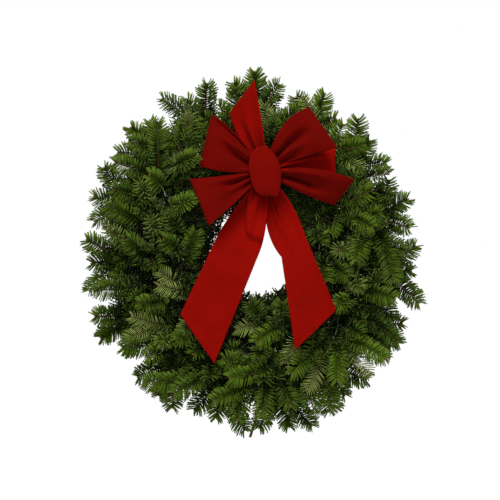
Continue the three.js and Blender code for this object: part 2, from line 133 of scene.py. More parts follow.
def tube_mesh(
    name: str,
    lines: Sequence[Sequence[Vector]],
    radii: Sequence[Sequence[float]],
    sides: int,
    closed: bool = False,
) -> bpy.types.Mesh:
    """Make round tubes along some lines as one mesh.

    Args:
        name: The mesh's name.
        lines: The points of each tube, in metres.
        radii: The tube's radius at each of them, in metres.
        sides: How finely the tubes are rounded.
        closed: Whether each tube's ends meet.

    Returns:
        The mesh.
    """
    curve = bpy.data.curves.new(name, "CURVE")
    curve.dimensions = "3D"
    curve.bevel_depth = 1.0
    curve.bevel_resolution = sides
    curve.use_fill_caps = not closed
    for line, sizes in zip(lines, radii):
        spline = curve.splines.new("POLY")
        spline.points.add(len(line) - 1)
        spline.use_cyclic_u = closed
        for point, place, size in zip(spline.points, line, sizes):
            point.co = (*place, 1.0)
            point.radius = size
    holder = bpy.data.objects.new(name, curve)
    mesh = bpy.data.meshes.new_from_object(holder)
    bpy.data.objects.remove(holder)
    bpy.data.curves.remove(curve)
    mesh.materials.clear()
    return mesh


def mesh_from(bm: bmesh.types.BMesh, name: str) -> bpy.types.Mesh:
    """Return a new mesh made from a bmesh, which is freed."""
    mesh = bpy.data.meshes.new(name)
    bm.to_mesh(mesh)
    bm.free()
    return mesh


def add_object(name: str, data: bpy.types.ID) -> bpy.types.Object:
    """Return a new object in the scene that shows a mesh, a light or a camera."""
    holder = bpy.data.objects.new(name, data)
    bpy.context.collection.objects.link(holder)
    return holder


def add_piece(name: str, mesh: bpy.types.Mesh, node: str, slot: Slot) -> bpy.types.Object:
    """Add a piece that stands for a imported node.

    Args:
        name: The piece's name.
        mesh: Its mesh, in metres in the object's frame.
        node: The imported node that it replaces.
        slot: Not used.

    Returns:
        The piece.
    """
    piece = add_object(name, mesh)
    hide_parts(node)
    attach(piece, "root")
    return piece


# Finishes


class Tree:
    """A material's or a group's nodes, with short calls to add and join them."""

    def __init__(self, tree: bpy.types.NodeTree) -> None:
        """Keep the tree that the nodes go in."""
        self.tree = tree

    def add(self, kind: str, **values: object) -> bpy.types.Node:
        """Add a node.

        Args:
            kind: The node's type name.
            **values: Attributes of the node, or its inputs by name with spaces as underscores.

        Returns:
            The new node.
        """
        node = self.tree.nodes.new(kind)
        for key, value in values.items():
            if hasattr(node, key):
                setattr(node, key, value)
            else:
                node.inputs[key.replace("_", " ")].default_value = value
        return node

    def join(self, start: bpy.types.NodeSocket, end: bpy.types.NodeSocket) -> None:
        """Link an output to an input."""
        self.tree.links.new(start, end)

    def blend(self, share: bpy.types.NodeSocket, first: object, second: object) -> bpy.types.NodeSocket:
        """Blend two colours.

        Args:
            share: The socket that gives the second colour's share.
            first: A socket or an RGBA tuple.
            second: A socket or an RGBA tuple.

        Returns:
            The colour's socket.
        """
        node = self.tree.nodes.new("ShaderNodeMix")
        node.data_type = "RGBA"
        sockets = [socket for socket in node.inputs if socket.enabled]
        for value, socket in zip((share, first, second), sockets):
            if isinstance(value, bpy.types.NodeSocket):
                self.join(value, socket)
            else:
                socket.default_value = value
        return next(socket for socket in node.outputs if socket.enabled)

    def span(
        self, value: bpy.types.NodeSocket, low: float, high: float, to_low: float = 0.0, to_high: float = 1.0
    ) -> bpy.types.NodeSocket:
        """Map a range of values to another range, held at its ends.

        Args:
            value: The socket to map.
            low: Where the range starts.
            high: Where it ends.
            to_low: What low becomes.
            to_high: What high becomes.

        Returns:
            The mapped value's socket.
        """
        node = self.add("ShaderNodeMapRange", From_Min=low, From_Max=high, To_Min=to_low, To_Max=to_high)
        self.join(value, node.inputs["Value"])
        return node.outputs["Result"]


def cloudy_group() -> bpy.types.ShaderNodeTree:
    """Return the group that gives soft patches of light and dark and a fine grain, from a position."""
    found = bpy.data.node_groups.get("cloudy_grain")
    if found:
        return found
    group = bpy.data.node_groups.new("cloudy_grain", "ShaderNodeTree")
    face = group.interface
    face.new_socket("Position", in_out="INPUT", socket_type="NodeSocketVector")
    for name in ("Patch Scale", "Grain Scale"):
        face.new_socket(name, in_out="INPUT", socket_type="NodeSocketFloat")
    for name in ("Patches", "Grain"):
        face.new_socket(name, in_out="OUTPUT", socket_type="NodeSocketFloat")
    tree = Tree(group)
    inputs, outputs = tree.add("NodeGroupInput"), tree.add("NodeGroupOutput")
    for scale, out, detail in (("Patch Scale", "Patches", 2.0), ("Grain Scale", "Grain", 3.0)):
        noise = tree.add("ShaderNodeTexNoise", Detail=detail)
        tree.join(inputs.outputs["Position"], noise.inputs["Vector"])
        tree.join(inputs.outputs[scale], noise.inputs["Scale"])
        tree.join(noise.outputs["Fac"], outputs.inputs[out])
    return group


@dataclass(frozen=True)
class Finish:
    """What every finish has: name, colour and roughness, and how many patches and grains a metre has."""

    name: str
    colour: tuple[float, float, float]
    roughness: float
    patch_scale: float = 40.0
    grain_scale: float = 900.0
    patch_span: tuple[float, float] = (0.3, 0.7)
    grain_span: tuple[float, float] = (0.3, 0.7)

    def material(self) -> bpy.types.Material:
        """Return the finish's material, made at its first use."""
        found = bpy.data.materials.get(self.name)
        if found:
            return found
        material = bpy.data.materials.new(self.name)
        material.use_nodes = True
        shader = material.node_tree.nodes["Principled BSDF"]
        shader.inputs["Roughness"].default_value = self.roughness
        shader.inputs["Base Color"].default_value = self.shade()
        self.dress(Tree(material.node_tree), shader)
        return material

    def dress(self, tree: Tree, shader: bpy.types.Node) -> None:
        """Add the finish's own nodes."""

    def shade(self, factor: float = 1.0) -> tuple[float, float, float, float]:
        """Return the colour in RGBA, made darker or lighter by a factor."""
        red, green, blue = (min(1.0, factor * c) for c in self.colour)
        return red, green, blue, 1.0

    def clouds(self, tree: Tree) -> tuple[bpy.types.NodeSocket, bpy.types.NodeSocket]:
        """Add the shared pattern on object coordinates, and return its patches and its grain."""
        where = tree.add("ShaderNodeTexCoord")
        node = tree.add(
            "ShaderNodeGroup",
            node_tree=cloudy_group(),
            Patch_Scale=self.patch_scale,
            Grain_Scale=self.grain_scale,
        )
        tree.join(where.outputs["Object"], node.inputs["Position"])
        return node.outputs["Patches"], node.outputs["Grain"]

    def roughen(self, tree: Tree, shader: bpy.types.Node, grain: bpy.types.NodeSocket, more: float) -> None:
        """Let the grain vary the roughness.

        Args:
            tree: The material's nodes.
            shader: The shader.
            grain: The grain's socket.
            more: How much rougher the roughest grains are.
        """
        rough = tree.span(grain, *self.grain_span, self.roughness - 0.1, self.roughness + more)
        tree.join(rough, shader.inputs["Roughness"])

    @staticmethod
    def emboss(
        tree: Tree, shader: bpy.types.Node, grain: bpy.types.NodeSocket, strength: float, height: float
    ) -> None:
        """Give the surface a fine relief.

        Args:
            tree: The material's nodes.
            shader: The shader.
            grain: The grain's socket.
            strength: How strongly it shows, up to 1.
            height: How high the grains are, in metres.
        """
        bump = tree.add("ShaderNodeBump", Strength=strength, Distance=height)
        tree.join(grain, bump.inputs["Height"])
        tree.join(bump.outputs["Normal"], shader.inputs["Normal"])


@dataclass(frozen=True)
class NeedleFinish(Finish):
    """Fir needles: deep green above, paler below, lighter where they are young, with painted light and shade
    in their tone.
    """

    patch_scale: float = 22.0
    grain_scale: float = 1400.0
    patch_span: tuple[float, float] = (0.35, 0.65)
    below: tuple[float, float, float] = (0.6, 0.68, 0.2)
    young: tuple[float, float, float] = (0.185, 0.312, 0.014)
    # the darkest shade: of dark patches, old needles and the painted shade deep inside
    sunk: float = 0.16

    def dress(self, tree: Tree, shader: bpy.types.Node) -> None:
        """Colour the needles by their marks: red is the place on the twig, green the tone with its painted
        light and shade, blue the back with the tufts' painted light.
        """
        marks = tree.add("ShaderNodeAttribute", attribute_name="needle_marks")
        split = tree.add("ShaderNodeSeparateColor")
        tree.join(marks.outputs["Color"], split.inputs["Color"])
        along, tone, under = (split.outputs[name] for name in ("Red", "Green", "Blue"))
        patches, grain = self.clouds(tree)
        dark, young, below = self.shade(self.sunk), (*self.young, 1.0), (*self.below, 1.0)
        # dark patches; the old needles near the foot, darker for their age and by painted shade; the young
        # shoots; the tips; the backs and the tufts' painted light; and the painted shade of what lies deep
        # inside
        layers = (
            (patches, (*self.patch_span, 0.0, 0.5), dark),
            (along, (0.1, 0.7, 0.75, 0.0), dark),
            (tone, (0.3, 1.0, 0.0, 0.85), young),
            (along, (0.6, 1.0, 0.0, 0.45), young),
            (under, (0.3, 0.7, 0.0, 0.55), below),
            (tone, (0.0, 0.26, 0.9, 0.0), dark),
        )
        colour = self.shade()
        for mask, span, over in layers:
            colour = tree.blend(tree.span(mask, *span), colour, over)
        tree.join(colour, shader.inputs["Base Color"])
        self.roughen(tree, shader, grain, 0.12)
        shader.inputs["Specular IOR Level"].default_value = 0.29


@dataclass(frozen=True)
class PatchyFinish(Finish):
    """A finish whose colour changes in soft patches between two shades of it."""

    shades: tuple[float, float] = (1.0, 1.0)

    def patchy(self, tree: Tree, patches: bpy.types.NodeSocket) -> bpy.types.NodeSocket:
        """Return the socket of the patchy colour."""
        first, second = (self.shade(factor) for factor in self.shades)
        return tree.blend(tree.span(patches, *self.patch_span), first, second)


@dataclass(frozen=True)
class BarkFinish(PatchyFinish):
    """Twigs: grey-brown bark in lighter and darker patches, with a fine relief."""

    patch_scale: float = 90.0
    grain_scale: float = 1100.0
    patch_span: tuple[float, float] = (0.35, 0.68)
    shades: tuple[float, float] = (1.0, 1.9)

    def dress(self, tree: Tree, shader: bpy.types.Node) -> None:
        """Vary the bark's colour and give it its relief."""
        patches, grain = self.clouds(tree)
        tree.join(self.patchy(tree, patches), shader.inputs["Base Color"])
        self.emboss(tree, shader, grain, 0.6, 0.0003)


@dataclass(frozen=True)
class BudFinish(PatchyFinish):
    """Buds: orange-brown scales under a thin shine of resin."""

    patch_scale: float = 500.0
    grain_scale: float = 1500.0
    patch_span: tuple[float, float] = (0.35, 0.65)
    shades: tuple[float, float] = (0.45, 1.0)

    def dress(self, tree: Tree, shader: bpy.types.Node) -> None:
        """Vary the scales' colour and lay the resin over it."""
        patches, _ = self.clouds(tree)
        tree.join(self.patchy(tree, patches), shader.inputs["Base Color"])
        shader.inputs["Coat Weight"].default_value = 0.25


@dataclass(frozen=True)
class WireFinish(PatchyFinish):
    """Wire: bare or enamelled, with dull and worn patches."""

    patch_scale: float = 130.0
    grain_scale: float = 1600.0
    shades: tuple[float, float] = (0.55, 1.0)
    metallic: float = 0.0

    def dress(self, tree: Tree, shader: bpy.types.Node) -> None:
        """Vary the wire's colour and roughness."""
        shader.inputs["Metallic"].default_value = self.metallic
        patches, grain = self.clouds(tree)
        tree.join(self.patchy(tree, patches), shader.inputs["Base Color"])
        self.roughen(tree, shader, grain, 0.15)


@dataclass(frozen=True)
class VelvetFinish(PatchyFinish):
    """Velvet ribbon: a deep red pile that lies a little this way and that, with a soft sheen."""

    patch_scale: float = 26.0
    grain_scale: float = 700.0
    shades: tuple[float, float] = (0.8, 1.0)
    fleck: float = 0.6

    def dress(self, tree: Tree, shader: bpy.types.Node) -> None:
        """Shade the pile with soft patches, a fine fleck and a fleecy relief."""
        patches, grain = self.clouds(tree)
        flecks = tree.span(grain, *self.grain_span, 0.0, 0.4)
        colour = tree.blend(flecks, self.patchy(tree, patches), self.shade(self.fleck))
        tree.join(colour, shader.inputs["Base Color"])
        self.emboss(tree, shader, grain, 0.35, 0.0004)
        shader.inputs["Specular IOR Level"].default_value = 0.05
        shader.inputs["Sheen Weight"].default_value = 0.2
        shader.inputs["Sheen Roughness"].default_value = 0.45
        shader.inputs["Sheen Tint"].default_value = (1.0, 0.06, 0.03, 1.0)


NEEDLES = NeedleFinish("fir_needles", (0.021, 0.05, 0.0022), 0.45)
BARK = BarkFinish("fir_bark", (0.11, 0.065, 0.025), 0.85)
BUDS = BudFinish("fir_buds", (0.3, 0.12, 0.04), 0.5)
STEEL = WireFinish("galvanised_wire", (0.4, 0.4, 0.39), 0.45, metallic=0.9)
ENAMEL = WireFinish("green_enamel_wire", (0.03, 0.06, 0.03), 0.4)
VELVET = VelvetFinish("red_velvet", (0.35, 0.0034, 0.00075), 0.9)
# the next three are lit and shaded copies of the red velvet: painted light on the middle right loop, which
# lies in shade, and painted shade on the four corner loops and on the knot
PAINTED_LIGHT_VELVET = VelvetFinish("red_velvet_painted_light", (0.5, 0.005, 0.0011), 0.9)
PAINTED_SHADE_VELVET = VelvetFinish("red_velvet_painted_shade", (0.2, 0.0024, 0.0006), 0.9)
KNOT_PAINTED_SHADE_VELVET = VelvetFinish("red_velvet_knot_painted_shade", (0.26, 0.003, 0.0008), 0.9)
FLOOR = Finish("pale_floor", (0.9, 0.9, 0.9), 0.8)


# The plan that the pieces share


@dataclass(frozen=True)
class WreathPlan:
    """The wreath's sizes in millimetres from the ring's centre: x right, y back, z up."""

    ring_r: float = 152.4
    ring_wire_r: float = 2.2
    gap: float = 0.4
    velvet: float = 1.3
    stations: int = 15
    butt_r: float = 2.3
    butt_length: float = 34.0
    hole_r: float = 71.0
    hole_half: float = 50.5
    face_depth: float = 98.0
    under_bow_depth: float = 64.0
    bow: tuple[float, float, float] = (16.0, 125.0, 92.0)
    centre: tuple[float, float, float] = (0.0, -5.3, -176.5)
    pixel: float = 1.56
    photo_middle: tuple[float, float] = (255.0, 252.0)
    fans: tuple[tuple[Row, float], ...] = ((Row.OUTER, -5.0), (Row.FACE, -11.0), (Row.INNER, 7.0))
    cut_stem: tuple[float, float] = (250.0, 437.5)

    # the ellipse in which the bow presses the greenery down: its place off the bow's, its half sizes, and
    # the shares of them at which the pressing begins to fade and over which it fades
    pressed_off: tuple[float, float] = (5.0, 22.0)
    pressed_half: tuple[float, float] = (150.0, 118.0)
    pressed_edge: tuple[float, float] = (0.92, 0.23)

    # what a shoot's tip leaves for its needles: at the rim of a packed twig and of a filling shoot, in
    # front, and to the ring's middle behind
    tip_needles: float = 8.0
    rim_room: float = 50.0
    front_room: float = 6.0
    back_room: float = 6.0

    # how far a needle may pass the front, the ring's middle, the rim and the hole's edge
    past: tuple[float, float, float, float] = (1.0, 3.0, 5.0, 9.0)

    # the share of the depth at which the needles' painted shade begins, over what share it darkens them fully,
    # and the width of the lighter rim, over which the painted shade fades out
    buried_from: float = 0.92
    buried_over: float = 0.36
    light_rim: float = 85.0

    outer_tips: tuple[tuple[tuple[float, float], ...], ...] = (
        ((82, 270), (90, 288), (97, 272)),
        ((106, 279), (114, 268), (121, 286)),
        ((129, 268), (135, 281), (144, 271)),
        ((151, 276), (161, 272), (169, 262)),
        ((176, 270), (184, 262), (193, 272)),
        ((202, 275), (209, 282), (218, 257)),
        ((227, 274), (236, 276), (242, 282)),
        ((249, 270), (257, 273), (266.5, 285)),
        ((271.5, 281), (281, 285), (288, 292)),
        ((295, 281), (302, 270), (311, 271)),
        ((320, 267), (327, 270), (334, 262)),
        ((343, 275), (353, 252), (362, 257)),
        ((369, 250), (379, 259), (388, 244)),
        ((394, 253), (404, 256), (412, 270)),
        ((419, 250), (426, 277), (435, 257)),
    )

    def world(self, point: Vector) -> Vector:
        """Return a point of the plan in metres, in the object's frame."""
        return (point + Vector(self.centre)) * MM

    def world_rows(self, rows: np.ndarray) -> np.ndarray:
        """Return rows of points of the plan in metres, in the object's frame."""
        return (rows + np.array(self.centre)) * MM

    def in_bow(self, x: float, z: float, depth: float) -> Vector:
        """Return the point of the plan at a place from the bow's own middle."""
        bow_x, bow_z, bow_depth = self.bow
        return Vector((bow_x + x, -bow_depth - depth, bow_z + z))

    def station_at(self, row: Row, place: Vector) -> int:
        """Return the bundle of a row whose twigs turn out nearest to a place."""
        turn = math.degrees(math.atan2(place.z, place.x)) - self.fan(row, 0)
        return round(turn * self.stations / 360.0) % self.stations

    def fan(self, row: Row, station: int) -> float:
        """Return the angle on the ring where a bundle's twigs turn away from it."""
        return 90.0 + 360.0 / self.stations * station + dict(self.fans)[row]

    def forward_limits(self, x: np.ndarray, z: np.ndarray) -> np.ndarray:
        """Return how far forward the greenery may reach at each place: less where the bow presses it down."""
        across = (x - self.bow[0] - self.pressed_off[0]) / self.pressed_half[0]
        up = (z - self.bow[1] - self.pressed_off[1]) / self.pressed_half[1]
        edge, fade = self.pressed_edge
        share = eased(np.clip((np.hypot(across, up) - edge) / fade, 0.0, 1.0))
        return self.under_bow_depth + (self.face_depth - self.under_bow_depth) * share

    def held(self, at: Vector) -> Vector:
        """Return a place, moved back where it stands further forward than the greenery may reach."""
        limit = float(self.forward_limits(np.array([at.x]), np.array([at.z]))[0])
        return Vector((at.x, max(at.y, self.front_room - limit), at.z))

    def placed(self, r: float, degrees: float, depth: float) -> Vector:
        """Return a place on the wreath, no further forward than the greenery may reach there."""
        return self.held(polar(r, degrees, -depth))

    def kept(self, tip: Vector) -> Vector:
        """Return a shoot's tip, moved in where it would leave the wreath's shape."""
        angle = math.degrees(math.atan2(tip.z, tip.x))
        most = float(self.reach(np.array([angle]))[0]) - self.rim_room
        r = min(max(math.hypot(tip.x, tip.z), self.hole_r), most)
        moved = self.held(polar(r, angle, tip.y))
        moved.y = min(moved.y, -self.back_room)
        return moved

    def at_pixel(self, place: tuple[float, float], depth: float) -> Vector:
        """Return the place behind a pixel of the photograph, at a depth."""
        x = (place[0] - self.photo_middle[0]) * self.pixel
        z = (self.photo_middle[1] - place[1]) * self.pixel
        return Vector((x, -depth, z))

    def reach(self, degrees: np.ndarray) -> np.ndarray:
        """Return the greenery's outer reach at each angle, a line through the tips."""
        tips = sorted((d % 360.0, r) for station in self.outer_tips for d, r in station)
        angles, radii = np.array(tips).T
        return np.interp(degrees % 360.0, angles, radii, period=360.0)

    def short_of_rim(self, rows: np.ndarray) -> np.ndarray:
        """Return how far inside the greenery's outer reach each place is."""
        angles = np.degrees(np.arctan2(rows[:, 2], rows[:, 0]))
        return self.reach(angles) - np.hypot(rows[:, 0], rows[:, 2])

    def buried(self, rows: np.ndarray) -> np.ndarray:
        """Return how far inside the greenery each place is, from 0 at the front or the rim to 1, for the
        needles' painted shade.
        """
        forward = -rows[:, 1] / self.forward_limits(rows[:, 0], rows[:, 2])
        inside = np.clip((self.buried_from - forward) / self.buried_over, 0.0, 1.0)
        return inside * np.clip(self.short_of_rim(rows) / self.light_rim, 0.0, 1.0)

    def admits(self, tips: np.ndarray, free: bool) -> np.ndarray:
        """Find the needles that stay in the wreath's shape.

        Args:
            tips: The needles' tips.
            free: Whether they may stand out to the front.

        Returns:
            Whether each one stays.
        """
        past_front, past_back, past_rim, past_hole = self.past
        x, y, z = tips.T
        front = free | (-y < self.forward_limits(x, z) + past_front)
        shell = (y < past_back) & (self.short_of_rim(tips) > -past_rim)
        round_hole = np.hypot(x, z) > self.hole_r - past_hole
        square_hole = np.maximum(np.abs(x), np.abs(z)) > self.hole_half
        return front & shell & round_hole & square_hole

    def butt(self, row: Row, degrees: float) -> Vector:
        """Return a point on a stem that lies along the ring, in its row's place beside the wire."""
        out = self.ring_wire_r + self.gap + self.butt_r / 2.0
        side = math.radians(row.value)
        return polar(self.ring_r + out * math.sin(side), degrees, -out * math.cos(side))


PLAN = WreathPlan()


# The greenery


@dataclass
class Shoot:
    """One leafy twig on a cubic curve, with the side that its needles' faces turn to.

    Its foot is bare, and its stem runs on behind it along the ring. Its tone is how young it looks, and its
    pitch is that of its needles. It may have plain needles or needles all around, end in buds, be free to
    stand out to the front, or be turned to show its underside.
    """

    points: tuple[Vector, Vector, Vector, Vector]
    up: Vector
    bare: float = 6.0
    radius: float = 1.3
    end_radius: float = 0.55
    stem: tuple[Vector, ...] = ()
    tone: float = 0.3
    pitch: float = 0.95
    plain: bool = False
    bud: bool = False
    free: bool = False
    around: bool = False
    turned: bool = False

    def at(self, t: float) -> Vector:
        """Return the point at a share t of the curve's parameter."""
        a, b, c, d = self.points
        s = 1.0 - t
        return a * s**3 + b * (3 * s * s * t) + c * (3 * s * t * t) + d * t**3

    def samples(self, count: int = 33) -> tuple[np.ndarray, np.ndarray]:
        """Return points along the curve and their distances from its start."""
        rows = np.array([self.at(k / (count - 1)) for k in range(count)])
        steps = np.linalg.norm(np.diff(rows, axis=0), axis=1)
        return rows, np.concatenate(([0.0], np.cumsum(steps)))

    def point_at(self, share: float) -> tuple[Vector, Vector]:
        """Return the point and the direction at a share of the curve's length."""
        rows, reach = self.samples()
        here = share * reach[-1]
        place, ahead, behind = (Vector(along_line(rows, reach, s)) for s in (here, here + 1.0, here - 1.0))
        return place, (ahead - behind).normalized()

    @property
    def length(self) -> float:
        """Return the curve's length."""
        return float(self.samples()[1][-1])


@dataclass
class MeshStock:
    """Vertices and faces gathered from meshes that operators made, to become one mesh in some finishes."""

    kinds: tuple[Finish, ...]
    points: list[np.ndarray] = field(default_factory=list)
    marks: list[np.ndarray] = field(default_factory=list)
    loops: list[np.ndarray] = field(default_factory=list)
    totals: list[np.ndarray] = field(default_factory=list)
    finishes: list[np.ndarray] = field(default_factory=list)
    count: int = 0

    def take(
        self, points: np.ndarray, loops: np.ndarray, totals: np.ndarray, finish: Finish, marks: np.ndarray
    ) -> None:
        """Add a set of faces.

        Args:
            points: Vertex rows in metres.
            loops: The faces' corners, counted from the first of these vertices.
            totals: How many corners each face has.
            finish: The faces' finish.
            marks: One row of red, green and blue for each vertex.
        """
        self.points.append(points)
        self.marks.append(marks)
        self.loops.append(loops + self.count)
        self.totals.append(totals)
        self.finishes.append(np.full(len(totals), self.kinds.index(finish)))
        self.count += len(points)

    def take_mesh(self, mesh: bpy.types.Mesh, finish: Finish) -> None:
        """Add a whole mesh with one finish, and remove it from the file."""
        points = np.empty(3 * len(mesh.vertices))
        loops = np.empty(len(mesh.loops), dtype=int)
        totals = np.empty(len(mesh.polygons), dtype=int)
        mesh.vertices.foreach_get("co", points)
        mesh.loops.foreach_get("vertex_index", loops)
        mesh.polygons.foreach_get("loop_total", totals)
        rows = points.reshape(-1, 3)
        self.take(rows, loops, totals, finish, np.zeros_like(rows))
        bpy.data.meshes.remove(mesh)

    def mesh(self, name: str) -> bpy.types.Mesh:
        """Return the gathered faces as one mesh, smoothly shaded."""
        mesh = bpy.data.meshes.new(name)
        points, loops, totals, marks, finishes = (
            np.concatenate(rows) for rows in (self.points, self.loops, self.totals, self.marks, self.finishes)
        )
        mesh.vertices.add(len(points))
        mesh.loops.add(len(loops))
        mesh.polygons.add(len(totals))
        mesh.vertices.foreach_set("co", points.ravel())
        mesh.loops.foreach_set("vertex_index", loops)
        mesh.polygons.foreach_set("loop_start", np.concatenate(([0], np.cumsum(totals)[:-1])))
        mesh.polygons.foreach_set("material_index", finishes)
        mesh.polygons.foreach_set("use_smooth", np.ones(len(totals), dtype=bool))
        mesh.update(calc_edges=True)
        layer = mesh.color_attributes.new("needle_marks", "FLOAT_COLOR", "POINT")
        layer.data.foreach_set("color", np.hstack((marks, np.ones((len(marks), 1)))).ravel())
        for finish in self.kinds:
            mesh.materials.append(finish.material())
        return mesh


@dataclass
class NeedleWays:
    """How needles lie: each one's way, upper side, twig's way ahead, length, share along the twig and tone.

    How pale they are above, which is painted light, is the same for all of them.
    """

    out: np.ndarray
    up: np.ndarray
    ahead: np.ndarray
    length: np.ndarray
    share: np.ndarray
    tone: np.ndarray
    pale: float

    def chosen(self, which: np.ndarray) -> "NeedleWays":
        """Return the ways of the chosen needles alone."""
        each = (self.out, self.up, self.ahead, self.length, self.share, self.tone)
        return NeedleWays(*(rows[which] for rows in each), self.pale)


@dataclass
class NeedleShape:
    """One fir needle: flat, blunt, narrow at its foot, in millimetres across and from 0 to 1 along."""

    width: float = 2.05
    thick: float = 0.85
    profile: tuple[tuple[float, float], ...] = ((0.0, 0.55), (0.5, 1.0), (1.0, 0.75))
    rows: np.ndarray = field(init=False)
    loops: np.ndarray = field(init=False)
    totals: np.ndarray = field(init=False)

    # the prism's radius and how far its keel is raised, as shares of the needle's width and thickness
    prism_r: ClassVar[float] = 0.577
    raised: ClassVar[float] = 0.2

    # middle and spread: the roll, and how far the tip lifts and sweeps along the twig
    roll: ClassVar[float] = 0.25
    lift: ClassVar[tuple[float, float]] = (1.2, 0.6)
    sweep: ClassVar[tuple[float, float]] = (2.2, 0.7)
    widths: ClassVar[tuple[float, float]] = (0.88, 1.08)

    def __post_init__(self) -> None:
        """Make the needle from a three-sided prism, flat above and keeled below, cut across and drawn in."""
        bm = bmesh.new()
        bmesh.ops.create_cone(
            bm, cap_ends=True, segments=3, radius1=self.prism_r, radius2=self.prism_r, depth=1.0
        )
        bmesh.ops.rotate(bm, cent=(0.0, 0.0, 0.0), matrix=Matrix.Rotation(math.pi, 3, "Z"), verts=bm.verts)
        bmesh.ops.translate(bm, vec=(0.0, self.raised, 0.5), verts=bm.verts)
        for share, _ in self.profile[1:-1]:
            whole = [*bm.verts, *bm.edges, *bm.faces]
            bmesh.ops.bisect_plane(bm, geom=whole, plane_co=(0.0, 0.0, share), plane_no=(0.0, 0.0, 1.0))
        for share, wide in self.profile:
            ring = [v for v in bm.verts if math.isclose(v.co.z, share, abs_tol=1e-4)]
            bmesh.ops.scale(bm, vec=(wide * self.width, (0.4 + 0.6 * wide) * self.thick, 1.0), verts=ring)
        bm.verts.index_update()
        self.rows = np.array([v.co[:] for v in bm.verts])
        self.loops = np.array([v.index for f in bm.faces for v in f.verts])
        self.totals = np.array([len(f.verts) for f in bm.faces])
        bm.free()

    def scatter(self, stock: MeshStock, feet: np.ndarray, ways: NeedleWays, seed: int) -> None:
        """Place one copy of the needle for each foot.

        Args:
            stock: Where the faces go.
            feet: Where the needles are fixed, in millimetres of the plan.
            ways: How each lies, how long it is and how young it looks.
            seed: Chooses the bends.
        """
        n = len(feet)
        if not n:
            return
        chance = np.random.default_rng(seed)
        side = unit_rows(np.cross(ways.out, ways.up))
        rolled = ways.up + side * chance.normal(0.0, self.roll, n)[:, None]
        side = unit_rows(np.cross(ways.out, rolled))
        top = np.cross(side, ways.out)
        across, thick, along = self.rows.T
        bend = along[None, :] ** 2
        lift = chance.normal(*self.lift, n)[:, None] * bend
        sweep = chance.normal(*self.sweep, n)[:, None] * bend
        wide = chance.uniform(*self.widths, n)[:, None]
        points = (
            feet[:, None, :]
            + ways.out[:, None, :] * (ways.length[:, None] * along[None, :])[..., None]
            + side[:, None, :] * (across[None, :] * wide)[..., None]
            + top[:, None, :] * (thick[None, :] + lift)[..., None]
            + ways.ahead[:, None, :] * sweep[..., None]
        )
        marks = np.empty((n, len(self.rows), 3))
        marks[..., 0] = np.clip(ways.share[:, None] * 0.85 + 0.25 * along[None, :] - 0.05, 0.0, 1.0)
        marks[..., 1] = np.clip(ways.tone + chance.normal(0.0, 0.08, n), 0.0, 1.0)[:, None]
        # blue marks the pale underside, and on the tufts' tops their painted light
        marks[..., 2] = np.where(thick < -0.05, 1.0, ways.pale)
        loops = (np.arange(n)[:, None] * len(self.rows) + self.loops[None, :]).ravel()
        placed = PLAN.world_rows(points.reshape(-1, 3))
        stock.take(placed, loops, np.tile(self.totals, n), NEEDLES, marks.reshape(-1, 3))


class Lie(Enum):
    """How a spray lies: its depths where it comes out and at its tip, its needles' pitch and its radius."""

    FLAT = (80.0, 92.0, 0.62, 1.3)
    TURNED = (86.0, 87.0, 1.6, 0.8)
    END_ON = (60.0, 97.0, 0.62, 1.3)
    OVER_BOW = (84.0, 113.0, 0.62, 1.3)


@dataclass(frozen=True)
class Spray:
    """A spray that stands out on the face: the photo's pixels where it comes out and ends, tone and lie."""

    start: tuple[float, float]
    end: tuple[float, float]
    tone: float
    lie: Lie = Lie.FLAT

    @property
    def station(self) -> int:
        """Return the bundle of the face's row that the spray grows from."""
        return PLAN.station_at(Row.FACE, PLAN.at_pixel(self.start, 0.0))
